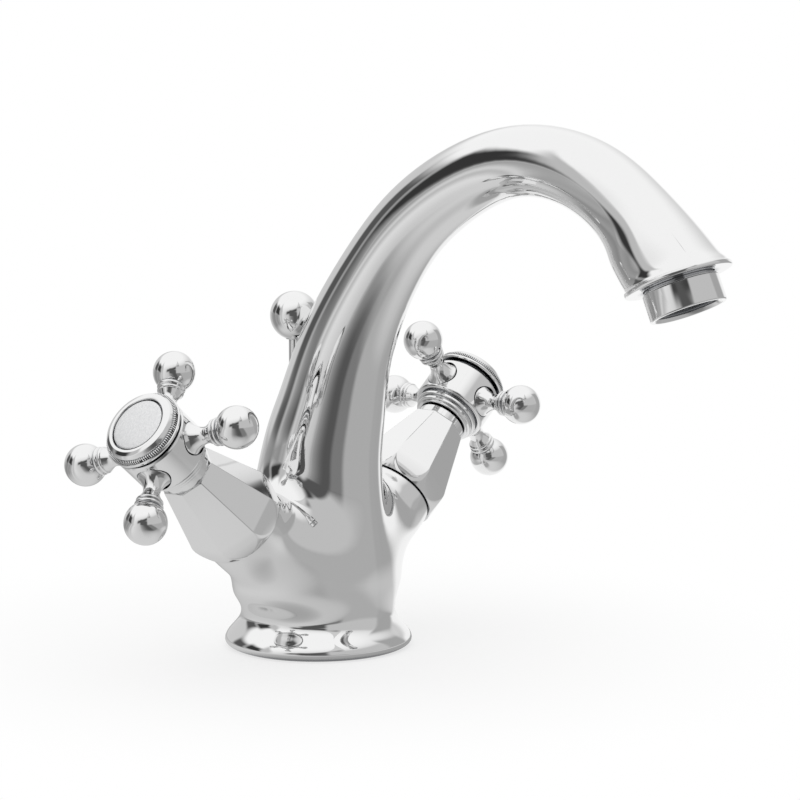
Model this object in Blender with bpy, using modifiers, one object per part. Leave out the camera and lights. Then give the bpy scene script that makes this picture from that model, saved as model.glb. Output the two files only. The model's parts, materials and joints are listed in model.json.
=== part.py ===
"""Two-handle basin mixer faucet: swan-neck spout, ceramic headworks, cross handles, aerator and lift rod.

Z is up and the mounting surface is z = 0. The spout reaches towards -Y and the hot valve is on the -X side.
"""

import math

import bmesh
import bpy
from mathutils import Matrix, Vector

MM = 0.001

# Clearances
GAP = 0.3 * MM  # between pieces that touch
RUNNING_FIT = 0.08 * MM  # around a piece that turns or slides in another
OVERSHOOT = 1 * MM  # how far a cutter goes past a face it opens

# Foot and trunk: each ring of the control cage is (height, radius, middle towards +Y)
FOOT_BOTTOM_RADIUS = 28.8 * MM
FOOT_EDGE_RADIUS = 32.0 * MM
FOOT_EDGE_HEIGHT = 1.6 * MM
FOOT_SHOULDER_RADIUS = 30.6 * MM
FOOT_SHOULDER_HEIGHT = 5.0 * MM
FOOT_NECK_RADIUS = 26.2 * MM
FOOT_NECK_HEIGHT = 9.0 * MM
TRUNK_RADIUS = 25.4 * MM
TRUNK_BOTTOM = 13.2 * MM

# Spout: rings of the control cage as (middle towards -Y, height, radius)
SPOUT_RISE = [
    (2.2 * MM, 68.0 * MM, 20.0 * MM),
    (6.9 * MM, 81.6 * MM, 17.9 * MM),
    (12.3 * MM, 103.9 * MM, 15.4 * MM),
    (30.5 * MM, 132.3 * MM, 12.8 * MM),
]
SPOUT_CROWN = [
    (46.9 * MM, 149.4 * MM, 12.6 * MM),
    (79.8 * MM, 166.8 * MM, 11.5 * MM),
    (110.5 * MM, 161.8 * MM, 12.2 * MM),
    (127.4 * MM, 148.6 * MM, 12.0 * MM),
]
OUTLET_REACH = 143.5 * MM
OUTLET_HEIGHT = 129.4 * MM
OUTLET_TILT = math.radians(22.9)  # of the outlet's axis, from straight down
SPOUT_END_TILT = math.radians(41.1)  # of the spout's straight end
SPOUT_END_LENGTH = 15.0 * MM
SPOUT_END_RADIUS = 15.0 * MM
SPOUT_END_START_RADIUS = 14.2 * MM
LIP_RADIUS = 16.8 * MM
LIP_THICKNESS = 1.3 * MM
LIP_FLARE_LENGTH = 4.5 * MM
LIP_EDGE = 0.4 * MM

# Valve arms, measured along the valve axis from where the two axes meet
ARM_TILT = math.radians(38.8)  # above level
ARM_ORIGIN_HEIGHT = 15.3 * MM
ARM_LENGTH = 49.0 * MM
ARM_RADIUS = 14.6 * MM
ARM_COLLAR_SETBACK = 4.3 * MM
ARM_COLLAR_RADIUS = 14.7 * MM
ARM_ROOT_SETBACK = 11.6 * MM
ARM_ROOT_RADIUS = 14.2 * MM
ARM_ROOT_SLANT = 0.4  # how far the rings lean outwards above the axis
CROTCH_SETBACK = 4.0 * MM
CROTCH_HEIGHT = 23.6 * MM
CROTCH_HALF_WIDTH = 10.4 * MM
ARMPIT_SETBACK = 16.9 * MM
ARMPIT_DEPTH = 18.3 * MM
ARMPIT_HALF_WIDTH = 12.9 * MM
CHEST_HALF_WIDTH = 6.9 * MM
CHEST_TOP = 36.1 * MM
CHEST_BOTTOM = 20.1 * MM

# Valve bore and the waterways
BORE_RADIUS = 10.2 * MM
BORE_DEPTH = 21.0 * MM
OUTLET_PORT_RADIUS = 3.0 * MM
OUTLET_PORT_SETBACK = 13.0 * MM
WATERWAY_RADIUS = 5.0 * MM
WATERWAY_BOTTOM = 34.0 * MM
WATERWAY_END_SHARE = 0.4  # of the spout's straight end, left solid below the waterway

# Headwork
HEX_ACROSS_FLATS = 21.0 * MM
HEX_HEIGHT = 5.0 * MM
BARREL_RADIUS = 7.4 * MM
BARREL_LENGTH = 23.0 * MM
CARTRIDGE_WALL = 1.6 * MM
DISC_THICKNESS = 2.4 * MM
DISC_PORT_RADIUS = 1.9 * MM
DISC_PORT_OFFSET = 4.2 * MM
SEAL_THICKNESS = 1.6 * MM
SEAL_HOLE_RADIUS = 6.4 * MM
WASHER_THICKNESS = 1.0 * MM
SPINDLE_RADIUS = 4.0 * MM
SPINDLE_PLATE_RADIUS = 7.6 * MM
SPINDLE_PLATE_THICKNESS = 2.4 * MM

# Shroud, measured along the valve axis from the arm's end face
SHROUD_SEAT_RADIUS = 15.3 * MM
SHROUD_SHOULDER_HEIGHT = 8.6 * MM
SHROUD_SHOULDER_RADIUS = 16.4 * MM
SHROUD_TOP_HEIGHT = 32.0 * MM
SHROUD_TOP_RADIUS = 9.8 * MM
SHROUD_NECK_HEIGHT = 3.2 * MM
SHROUD_NECK_RADIUS = 8.9 * MM
SHROUD_WALL = 1.3 * MM
SHROUD_SIDES = 8

# Handle, measured along the valve axis from the plane of its ball ends
HANDLE_PLANE = 95.5 * MM  # from where the valve axes meet
HANDLE_LIFT = 0.6 * MM  # free height between the hub and the shroud
HUB_RADIUS = 12.9 * MM
HUB_TOP = 7.0 * MM
HUB_BOTTOM = 6.4 * MM  # below the plane
HUB_RIM = 1.2 * MM
HUB_STEP_RADIUS = 10.6 * MM
HUB_STEP_WIDTH = 1.0 * MM
HUB_NECK_RADIUS = 10.6 * MM
HUB_NECK_HEIGHT = 1.3 * MM
HUB_WEB = 2.6 * MM  # between the spindle's end and the screw's head
SCREW_RADIUS = 2.0 * MM
SCREW_HEAD_RADIUS = 3.6 * MM
SCREW_HEAD_HEIGHT = 2.2 * MM
SCREW_SLOT = 0.9 * MM
SCREW_LENGTH = 9.0 * MM
INDEX_RING_RADIUS = 12.4 * MM
INDEX_RING_HEIGHT = 4.0 * MM
INDEX_RING_EDGE = 0.7 * MM
INDEX_LIP_RADIUS = 13.2 * MM
INDEX_LIP_HEIGHT = 1.2 * MM
INDEX_LIP_DROP = 0.5 * MM  # of the lip's underside, towards the hub
INDEX_LEDGE_WIDTH = 1.6 * MM
INDEX_DISC_RADIUS = 8.9 * MM
INDEX_DISC_THICKNESS = 1.6 * MM
ARM_COUNT = 4
BALL_CIRCLE_RADIUS = 28.7 * MM
BALL_RADIUS = 6.85 * MM
BALL_NECK_RADIUS = 3.9 * MM
BEAD_RADII = (4.6 * MM, 4.3 * MM)  # from the ball inwards
BEAD_WIDTH = 1.45 * MM
BEAD_ARC = 50  # degrees to each side of a bead's outermost line
TAPER_RADIUS = 3.4 * MM
WAIST_RADIUS = 2.7 * MM
WAIST_DISTANCE = 17.4 * MM  # from the valve axis
FLARE_RADIUS = 5.2 * MM
FLARE_SHARES = (0.5, 0.8, 1.0)  # where the flare's profile has its points, from the waist to the hub
SPOT_FACE_DEPTH = 1.4 * MM
STUD_RADIUS = 2.2 * MM
STUD_LENGTH = 3.0 * MM
HOT_HANDLE_TURN = math.radians(20.2)
COLD_HANDLE_TURN = math.radians(-1.2)

# Aerator, measured along the outlet's axis from the lip
AERATOR_RADIUS = 12.0 * MM
AERATOR_DROP = 9.4 * MM
AERATOR_SEAM = 0.75 * MM  # between the lip and the housing's shoulder
AERATOR_NECK_RADIUS = 10.9 * MM
AERATOR_NECK_LENGTH = 6.5 * MM
AERATOR_WALL = 1.0 * MM
AERATOR_EDGE = 0.6 * MM
AERATOR_RECESS = 1.4 * MM
AERATOR_WASHER_THICKNESS = 1.5 * MM
AERATOR_WASHER_HOLE_RADIUS = 6.0 * MM
AERATOR_FACE_THICKNESS = 2.0 * MM
AERATOR_HOLE_RADIUS = 2.0 * MM
AERATOR_HOLE_CIRCLE = 5.4 * MM
AERATOR_HOLES = 6

# Lift rod
ROD_RADIUS = 2.0 * MM
ROD_BOTTOM = 6.0 * MM
KNOB_RADIUS = 8.2 * MM
KNOB_HEIGHT = 110.0 * MM
KNOB_CLEARANCE = 0.4 * MM  # to the back of the spout
KNOB_NECK_RADIUS = 3.0 * MM
KNOB_SOCKET_DEPTH = 6.0 * MM
GUIDE_RADIUS = 3.4 * MM
GUIDE_LENGTH = 14.0 * MM
GUIDE_TOP = 57.0 * MM

# Underside
GASKET_RADIUS = 27.0 * MM
GASKET_WIDTH = 4.5 * MM
GASKET_THICKNESS = 2.0 * MM
INLET_RADIUS = 4.6 * MM
INLET_SPACING = 21.0 * MM
INLET_OFFSET = 2.0 * MM  # towards the spout
INLET_DEPTH = 9.0 * MM
INLET_CHANNEL_RADIUS = 3.2 * MM
STUD_HOLE_RADIUS = 3.4 * MM
STUD_HOLE_DEPTH = 18.0 * MM
STUD_HOLE_OFFSET = 16.0 * MM

# Fineness
BODY_LEVEL = 2
FOOT_STEPS = 32
OUTLET_STEPS = 24
TURNED_STEPS = 16
SMALL_STEPS = 10
HOLE_STEPS = 8
KNOB_PLACING_STEPS = 12
SHARP_ANGLE = math.radians(35)  # above this, an edge is shaded sharp

RING_COUNT = 8
RING_GROWTH = 6 / (4 + 2 * math.cos(math.tau / RING_COUNT))  # smoothing shrinks a control ring by this much

COLOURS = {
    "chrome": ((0.80, 0.81, 0.83), 1.0, 0.06),
    "brass": ((0.62, 0.46, 0.20), 1.0, 0.30),
    "steel": ((0.60, 0.60, 0.60), 1.0, 0.25),
    "ceramic": ((0.82, 0.80, 0.76), 0.0, 0.30),
    "rubber": ((0.03, 0.03, 0.03), 0.0, 0.70),
    "plastic": ((0.55, 0.57, 0.60), 0.0, 0.40),
    "enamel": ((0.85, 0.86, 0.87), 0.2, 0.15),
}


# Scene helpers


def clear_scene():
    for item in list(bpy.data.objects):
        bpy.data.objects.remove(item, do_unlink=True)


def new_collection(name):
    collection = bpy.data.collections.new(name)
    bpy.context.scene.collection.children.link(collection)
    return collection


def new_material(name):
    colour, metallic, roughness = COLOURS[name]
    material = bpy.data.materials.new(name)
    material.use_nodes = True
    shader = material.node_tree.nodes["Principled BSDF"]
    shader.inputs["Base Color"].default_value = (*colour, 1.0)
    shader.inputs["Metallic"].default_value = metallic
    shader.inputs["Roughness"].default_value = roughness
    return material


def add_object(name, mesh, finish, parent=None):
    item = bpy.data.objects.new(name, mesh)
    item.parent = parent
    PARTS.objects.link(item)
    if finish:
        mesh.materials.append(new_material(finish))
    mesh.shade_smooth()
    mesh.set_sharp_from_angle(angle=SHARP_ANGLE)
    return item


def add_empty(name, location, rotation=(0, 0, 0), parent=None):
    empty = bpy.data.objects.new(name, None)
    empty.parent = parent
    empty.location = location
    empty.rotation_euler = rotation
    PARTS.objects.link(empty)
    return empty


def as_cutter(item):
    PARTS.objects.unlink(item)
    CUTTERS.objects.link(item)
    item.hide_render = True
    item.display_type = "WIRE"
    return item


def boolean(item, other, operation="DIFFERENCE"):
    modifier = item.modifiers.new(operation.lower(), "BOOLEAN")
    modifier.operation = operation
    modifier.object = other
    return modifier


# Shape helpers


def turned(name, profile, finish=None, parent=None, steps=TURNED_STEPS, ring=False):
    """A profile of (radius, height) turned about Z, given down its outer side; a ring's is a closed loop."""
    mesh = bpy.data.meshes.new(name)
    points = [(radius, 0, height) for radius, height in profile]
    edges = [(i, i + 1) for i in range(len(points) - 1)]
    if ring:
        edges.append((len(points) - 1, 0))
    mesh.from_pydata(points, edges, [])
    item = add_object(name, mesh, finish, parent)
    screw = item.modifiers.new("screw", "SCREW")
    screw.steps = steps
    screw.render_steps = steps
    screw.use_merge_vertices = True
    screw.merge_threshold = 0.00001
    return item


def rod_profile(radius, bottom, top):
    return [(0, top), (radius, top), (radius, bottom), (0, bottom)]


def tube_profile(outer, inner, bottom, top):
    return [(outer, top), (outer, bottom), (inner, bottom), (inner, top)]


def arc(centre_radius, centre_height, radius, start, end, count):
    """Points of a circular arc in a profile; its angles are degrees from the outward direction, upwards."""
    points = []
    for i in range(count + 1):
        angle = math.radians(start + (end - start) * i / count)
        points.append((centre_radius + radius * math.cos(angle), centre_height + radius * math.sin(angle)))
    return points


def drill(name, radius, start, end, steps=SMALL_STEPS):
    """A round cutter from one point to another."""
    start, end = Vector(start), Vector(end)
    item = turned(name, rod_profile(radius, 0, (end - start).length), steps=steps)
    item.location = start
    item.rotation_mode = "QUATERNION"
    item.rotation_quaternion = Vector((0, 0, 1)).rotation_difference(end - start)
    return as_cutter(item)


def evaluated_mesh(item):
    bpy.context.view_layer.update()
    return bpy.data.meshes.new_from_object(item.evaluated_get(bpy.context.evaluated_depsgraph_get()))


def replace_with_mesh(item, mesh):
    """Keep what an object evaluates to, as a plain mesh."""
    item.modifiers.clear()
    item.data = mesh


# The body's control cage


def cage_ring(cage, middle, front, side, radius):
    """Eight vertices about a middle point; front and side are the ring's two directions."""
    ring = []
    for i in range(RING_COUNT):
        angle = math.tau * (i + 0.5) / RING_COUNT
        place = middle + radius * RING_GROWTH * (math.cos(angle) * front + math.sin(angle) * side)
        ring.append(cage.verts.new(place))
    return ring


def bridge(cage, near, far):
    for i in range(RING_COUNT):
        j = (i + 1) % RING_COUNT
        cage.faces.new((near[i], near[j], far[j], far[i]))


def arm_frame(side):
    along = Vector((side * math.cos(ARM_TILT), 0, math.sin(ARM_TILT)))
    above = Vector((-side * math.sin(ARM_TILT), 0, math.cos(ARM_TILT)))
    return Vector((0, 0, ARM_ORIGIN_HEIGHT)), along, above


def junction_ring(cage, side):
    """The ring where an arm leaves the trunk, from the chest over the crotch to the back and the armpit."""
    origin, along, above = arm_frame(side)
    chest_top = Vector((side * CHEST_HALF_WIDTH, -TRUNK_RADIUS, CHEST_TOP))
    chest_bottom = Vector((side * CHEST_HALF_WIDTH, -TRUNK_RADIUS, CHEST_BOTTOM))
    crotch = origin + along * (ARM_LENGTH - CROTCH_SETBACK) + above * CROTCH_HEIGHT
    crotch.y = -CROTCH_HALF_WIDTH
    armpit = origin + along * (ARM_LENGTH - ARMPIT_SETBACK) - above * ARMPIT_DEPTH
    armpit.y = -ARMPIT_HALF_WIDTH
    front = [chest_top, crotch, armpit, chest_bottom]
    back = [Vector((p.x, -p.y, p.z)) for p in front]
    order = [front[0], front[1], back[1], back[0], back[3], back[2], front[2], front[3]]
    return [cage.verts.new(point) for point in order]


def add_foot_rings(cage, ring):
    front, side = Vector((0, -1, 0)), Vector((1, 0, 0))
    for height, radius in (
        (TRUNK_BOTTOM, TRUNK_RADIUS),
        (FOOT_NECK_HEIGHT, FOOT_NECK_RADIUS),
        (FOOT_SHOULDER_HEIGHT, FOOT_SHOULDER_RADIUS),
        (FOOT_EDGE_HEIGHT, FOOT_EDGE_RADIUS),
        (0, FOOT_BOTTOM_RADIUS),
    ):
        lower = cage_ring(cage, Vector((0, 0, height)), front, side, radius)
        bridge(cage, ring, lower)
        ring = lower


def spout_stations():
    """Middle points and radii of the spout's rings; the last is inside the lip, after a straight stretch."""
    stations = [(Vector((0, -reach, height)), radius) for reach, height, radius in SPOUT_RISE + SPOUT_CROWN]
    inwards = Vector((0, math.sin(OUTLET_TILT), math.cos(OUTLET_TILT)))
    end = Vector((0, -OUTLET_REACH, OUTLET_HEIGHT)) + inwards * LIP_THICKNESS / 2
    back = Vector((0, math.sin(SPOUT_END_TILT), math.cos(SPOUT_END_TILT)))
    stations.append((end + back * SPOUT_END_LENGTH, SPOUT_END_START_RADIUS))
    stations.append((end, SPOUT_END_RADIUS))
    return stations


def add_spout_rings(cage, ring):
    side = Vector((1, 0, 0))
    stations = spout_stations()
    last = len(stations) - 1
    end_slope = math.tan(OUTLET_TILT - SPOUT_END_TILT)
    for i, (middle, radius) in enumerate(stations):
        before = stations[max(i - 1, 0)][0]
        after = stations[min(i + 1, last)][0]
        along = (after - before).normalized()
        front = side.cross(along)
        slope = {last: end_slope, last - 1: end_slope / 2}.get(i, 0)
        upper = cage_ring(cage, middle, front + along * slope, side, radius)
        bridge(cage, upper, ring)
        ring = upper


def add_arm_rings(cage, ring, side):
    origin, along, above = arm_frame(side)
    for setback, radius, slant in (
        (ARM_ROOT_SETBACK, ARM_ROOT_RADIUS, ARM_ROOT_SLANT),
        (ARM_COLLAR_SETBACK, ARM_COLLAR_RADIUS, ARM_ROOT_SLANT / 2),
        (0, ARM_RADIUS, 0),
    ):
        middle = origin + along * (ARM_LENGTH - setback)
        outer = cage_ring(cage, middle, Vector((0, -1, 0)), above + along * slant, radius)
        if side > 0:
            bridge(cage, ring, outer)
        else:
            bridge(cage, outer, ring)
        ring = outer


def body_cage():
    cage = bmesh.new()
    right, left = junction_ring(cage, 1), junction_ring(cage, -1)
    cage.faces.new((left[0], right[0], right[7], left[7]))
    cage.faces.new((left[4], right[4], right[3], left[3]))
    add_foot_rings(cage, [right[7], right[6], right[5], right[4], left[4], left[5], left[6], left[7]])
    add_spout_rings(cage, right[:4] + left[3::-1])
    add_arm_rings(cage, right, 1)
    add_arm_rings(cage, left, -1)
    mesh = bpy.data.meshes.new("body_cage")
    cage.to_mesh(mesh)
    cage.free()
    return mesh


def smooth_body():
    """The cage, smoothed, with its four open ends closed by flat faces."""
    body = add_object("body_casting", body_cage(), None)
    smooth = body.modifiers.new("smooth", "SUBSURF")
    smooth.levels = BODY_LEVEL
    smooth.render_levels = BODY_LEVEL
    shape = bmesh.new()
    shape.from_mesh(evaluated_mesh(body))
    bmesh.ops.holes_fill(shape, edges=[edge for edge in shape.edges if edge.is_boundary], sides=0)
    bmesh.ops.recalc_face_normals(shape, faces=shape.faces)
    mesh = bpy.data.meshes.new("body_casting")
    shape.to_mesh(mesh)
    shape.free()
    replace_with_mesh(body, mesh)
    mesh.materials.append(new_material("chrome"))
    return body


# Body casting


def outlet_frame(parent=None):
    """An empty on the outlet's lip, with its Z along the outlet's axis, outwards."""
    place = (0, -OUTLET_REACH, OUTLET_HEIGHT)
    return add_empty("outlet", place, (math.pi - OUTLET_TILT, 0, 0), parent)


def make_lip(outlet):
    """The flange round the outlet, with a hollow flare up to the spout."""
    flare = arc(LIP_RADIUS, -LIP_THICKNESS - LIP_FLARE_LENGTH, LIP_RADIUS - SPOUT_END_RADIUS, 90, 180, 4)
    stretch = LIP_FLARE_LENGTH / (LIP_RADIUS - SPOUT_END_RADIUS)
    root = -LIP_THICKNESS - LIP_FLARE_LENGTH
    flare = [(radius - LIP_EDGE, root + (height - root) * stretch) for radius, height in flare]
    profile = [(0, 0), (LIP_RADIUS - LIP_EDGE, 0), (LIP_RADIUS, -LIP_EDGE), (LIP_RADIUS, -LIP_THICKNESS)]
    profile += flare + [(0, root)]
    return as_cutter(turned("lip", profile, parent=outlet, steps=OUTLET_STEPS))


def make_waterway():
    """The passage from the valves to the aerator, along the spout's middle line."""
    curve = bpy.data.curves.new("waterway", "CURVE")
    curve.dimensions = "3D"
    curve.bevel_depth = WATERWAY_RADIUS
    curve.bevel_resolution = 2
    curve.resolution_u = 3
    curve.use_fill_caps = True
    middles = [middle for middle, _ in spout_stations()]
    middles.insert(0, Vector((0, middles[0].y, WATERWAY_BOTTOM)))
    middles[-1] = middles[-1].lerp(middles[-2], WATERWAY_END_SHARE)
    spline = curve.splines.new("NURBS")
    spline.points.add(len(middles) - 1)
    for point, middle in zip(spline.points, middles):
        point.co = (*middle, 1)
    spline.use_endpoint_u = True
    spline.order_u = 4
    path = bpy.data.objects.new("waterway_path", curve)
    PARTS.objects.link(path)
    mesh = evaluated_mesh(path)
    bpy.data.objects.remove(path)
    shape = bmesh.new()
    shape.from_mesh(mesh)
    bmesh.ops.remove_doubles(shape, verts=shape.verts, dist=0.00001)
    bmesh.ops.recalc_face_normals(shape, faces=shape.faces)
    shape.to_mesh(mesh)
    shape.free()
    return as_cutter(add_object("waterway", mesh, None))


def valve_passages(label, side):
    """Cutters for one arm: the headwork's bore, the inlet, its channel to the bore, the waterway's port."""
    origin, along, _ = arm_frame(side)
    face = origin + along * ARM_LENGTH
    seat = face - along * BORE_DEPTH
    port = face - along * OUTLET_PORT_SETBACK
    inlet = Vector((side * INLET_SPACING / 2, -INLET_OFFSET, 0))
    up = Vector((0, 0, 1))
    inlet_end = inlet + up * INLET_DEPTH
    channel_end = seat + along * OVERSHOOT
    return [
        drill(f"{label}_bore", BORE_RADIUS, face + along * OVERSHOOT, seat, TURNED_STEPS),
        drill(f"{label}_inlet", INLET_RADIUS, inlet - up * OVERSHOOT, inlet_end),
        drill(f"{label}_channel", INLET_CHANNEL_RADIUS, inlet_end - up * OVERSHOOT, channel_end),
        drill(f"{label}_port", OUTLET_PORT_RADIUS, port, Vector((0, 0, port.z))),
    ]


def aerator_seat(outlet):
    depth = AERATOR_NECK_LENGTH + AERATOR_WASHER_THICKNESS + 2 * GAP
    profile = rod_profile(AERATOR_NECK_RADIUS + GAP, -depth, OVERSHOOT)
    return as_cutter(turned("aerator_seat", profile, parent=outlet))


def rod_place(body):
    """Where the lift rod stands: as near the trunk's middle as its knob can be behind the spout."""
    bpy.context.view_layer.update()
    knob = Vector((0, TRUNK_RADIUS, KNOB_HEIGHT))
    for _ in range(KNOB_PLACING_STEPS):
        nearest = body.closest_point_on_mesh(knob)[1]
        knob.y -= (knob - nearest).length - KNOB_RADIUS - KNOB_CLEARANCE
    return Vector((0, knob.y, 0))


def finish_body(body, outlet, rod):
    """The lip, then every bore and passage."""
    boolean(body, make_lip(outlet), "UNION")
    inner = GASKET_RADIUS - GASKET_WIDTH - GAP
    groove = tube_profile(GASKET_RADIUS + GAP, inner, -OVERSHOOT, GASKET_THICKNESS + GAP)
    guide_bore = GUIDE_RADIUS + GAP
    stud = Vector((0, -STUD_HOLE_OFFSET, 0))
    up = Vector((0, 0, 1))
    cutters = [
        as_cutter(turned("gasket_groove", groove, steps=FOOT_STEPS, ring=True)),
        drill("rod_bore", ROD_RADIUS + GAP, rod + up * GUIDE_TOP, rod + up * KNOB_HEIGHT),
        drill("guide_bore", guide_bore, rod - up * OVERSHOOT, rod + up * (GUIDE_TOP + GAP)),
        drill("stud_hole", STUD_HOLE_RADIUS, stud - up * OVERSHOOT, stud + up * STUD_HOLE_DEPTH),
        make_waterway(),
        aerator_seat(outlet),
    ]
    for label, side in VALVES:
        cutters += valve_passages(label, side)
    passages = bpy.data.collections.new("passages")
    CUTTERS.children.link(passages)
    for cutter in cutters:
        passages.objects.link(cutter)
        CUTTERS.objects.unlink(cutter)
    cut = boolean(body, None)
    cut.operand_type = "COLLECTION"
    cut.collection = passages


def make_base_gasket():
    profile = tube_profile(GASKET_RADIUS, GASKET_RADIUS - GASKET_WIDTH, 0, GASKET_THICKNESS)
    turned("base_gasket", profile, "rubber", steps=FOOT_STEPS, ring=True)


# Valves, in a frame on the arm's end face with Z along the valve axis, outwards


def valve_frame(label, side):
    origin, along, _ = arm_frame(side)
    tilt = (0, side * (math.pi / 2 - ARM_TILT), 0)
    return add_empty(f"{label}_valve", origin + along * ARM_LENGTH, tilt)


def cut_disc_ports(disc, frame, across, bottom, top):
    """The two water ports of a ceramic disc, to each side of its middle."""
    for sign in (-1, 1):
        profile = rod_profile(DISC_PORT_RADIUS, bottom - OVERSHOOT, top + OVERSHOOT)
        port = turned(f"{disc.name}_port", profile, parent=frame, steps=HOLE_STEPS)
        port.location["XYZ".index(across)] = sign * DISC_PORT_OFFSET
        boolean(disc, as_cutter(port))


def make_valve(label, valve):
    """The seat seal, the two ceramic discs and the headwork that holds them in the bore."""
    skirt_radius = BORE_RADIUS - GAP
    cavity_radius = skirt_radius - CARTRIDGE_WALL
    seal_bottom = GAP - BORE_DEPTH
    seal_top = seal_bottom + SEAL_THICKNESS
    fixed_bottom = seal_top + GAP
    moving_bottom = fixed_bottom + DISC_THICKNESS + GAP
    cavity_top = moving_bottom + DISC_THICKNESS + SPINDLE_PLATE_THICKNESS + 2 * GAP
    washer_top = GAP + WASHER_THICKNESS
    hex_bottom = washer_top + GAP
    hex_top = hex_bottom + HEX_HEIGHT
    barrel_top = hex_top + BARREL_LENGTH

    seal = tube_profile(skirt_radius, SEAL_HOLE_RADIUS, seal_bottom, seal_top)
    turned(f"{label}_seat_seal", seal, "rubber", valve, ring=True)
    disc = rod_profile(cavity_radius - GAP, fixed_bottom, moving_bottom - GAP)
    fixed = turned(f"{label}_fixed_disc", disc, "ceramic", valve)
    cut_disc_ports(fixed, valve, "Y", fixed_bottom, moving_bottom)

    spindle_bore = SPINDLE_RADIUS + RUNNING_FIT
    shell = [
        (BARREL_RADIUS, barrel_top),
        (BARREL_RADIUS, hex_top - OVERSHOOT),
        (skirt_radius, hex_top - OVERSHOOT),
        (skirt_radius, fixed_bottom),
        (cavity_radius, fixed_bottom),
        (cavity_radius, cavity_top),
        (spindle_bore, cavity_top),
        (spindle_bore, barrel_top),
    ]
    headwork = turned(f"{label}_headwork", shell, "brass", valve, ring=True)
    corner = HEX_ACROSS_FLATS / 2 / math.cos(math.pi / 6)
    profile = tube_profile(corner, BARREL_RADIUS - OVERSHOOT, hex_bottom, hex_top)
    hexagon = turned(f"{label}_hexagon", profile, parent=valve, steps=6, ring=True)
    boolean(headwork, as_cutter(hexagon), "UNION")
    boolean(headwork, bpy.data.objects[f"{label}_port"])
    washer = tube_profile(corner, skirt_radius + GAP, GAP, washer_top)
    turned(f"{label}_headwork_washer", washer, "plastic", valve, ring=True)


def make_shroud(label, valve):
    """The octagonal bell, a shell that stands on the arm's end face."""
    top = SHROUD_TOP_HEIGHT + SHROUD_NECK_HEIGHT
    outer = [
        (SHROUD_NECK_RADIUS, top),
        (SHROUD_NECK_RADIUS, SHROUD_TOP_HEIGHT + GAP),
        (SHROUD_TOP_RADIUS, SHROUD_TOP_HEIGHT),
        (SHROUD_SHOULDER_RADIUS, SHROUD_SHOULDER_HEIGHT),
        (SHROUD_SEAT_RADIUS, GAP),
    ]
    inner = [(radius - SHROUD_WALL, height) for radius, height in reversed(outer)]
    shroud = turned(f"{label}_shroud", outer + inner, "chrome", valve, steps=SHROUD_SIDES, ring=True)
    shroud.rotation_euler = (0, 0, math.pi / SHROUD_SIDES)


# Handles, in a frame on the plane of the ball ends that turns about the valve axis


def handle_frame(label, turn, valve):
    return add_empty(f"{label}_handle", (0, 0, HANDLE_PLANE - ARM_LENGTH), (0, 0, turn), valve)


def hub_heights():
    """Where the hub ends below, and the top of its socket for the spindle."""
    bottom = SHROUD_TOP_HEIGHT + SHROUD_NECK_HEIGHT + HANDLE_LIFT - (HANDLE_PLANE - ARM_LENGTH)
    return bottom, HUB_TOP - SCREW_HEAD_HEIGHT - HUB_WEB - GAP


def make_hub(label, handle):
    bottom, socket_top = hub_heights()
    step = (-HUB_BOTTOM + bottom) / 2
    seat = socket_top + HUB_WEB
    neck_top = HUB_TOP + HUB_NECK_HEIGHT
    rim = arc(HUB_RADIUS - HUB_RIM, -HUB_BOTTOM + HUB_RIM, HUB_RIM, 0, -90, 3)
    outer = [(HUB_NECK_RADIUS, neck_top), (HUB_NECK_RADIUS, HUB_TOP), (HUB_RADIUS, HUB_TOP)] + rim
    outer += [(HUB_STEP_RADIUS, -HUB_BOTTOM), (HUB_STEP_RADIUS, step)]
    outer += [(HUB_STEP_RADIUS - HUB_STEP_WIDTH, step), (HUB_STEP_RADIUS - HUB_STEP_WIDTH, bottom)]
    inner = [
        (SPINDLE_RADIUS + GAP, bottom),
        (SPINDLE_RADIUS + GAP, socket_top),
        (SCREW_RADIUS + GAP, socket_top),
        (SCREW_RADIUS + GAP, seat),
        (SCREW_HEAD_RADIUS + GAP, seat),
        (SCREW_HEAD_RADIUS + GAP, neck_top),
    ]
    hub = turned(f"{label}_handle_hub", outer + inner, "chrome", handle, ring=True)
    floor = HUB_RADIUS - SPOT_FACE_DEPTH
    for i in range(ARM_COUNT):
        seat = [
            (0, HUB_RADIUS + OVERSHOOT),
            (FLARE_RADIUS + GAP, HUB_RADIUS + OVERSHOOT),
            (FLARE_RADIUS + GAP, floor),
            (STUD_RADIUS + GAP, floor),
            (STUD_RADIUS + GAP, floor - STUD_LENGTH),
            (0, floor - STUD_LENGTH),
        ]
        cutter = turned(f"{label}_arm_seat_{i + 1}", seat, parent=handle, steps=SMALL_STEPS)
        cutter.rotation_euler = (0, math.pi / 2, math.tau * i / ARM_COUNT)
        boolean(hub, as_cutter(cutter))


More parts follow.
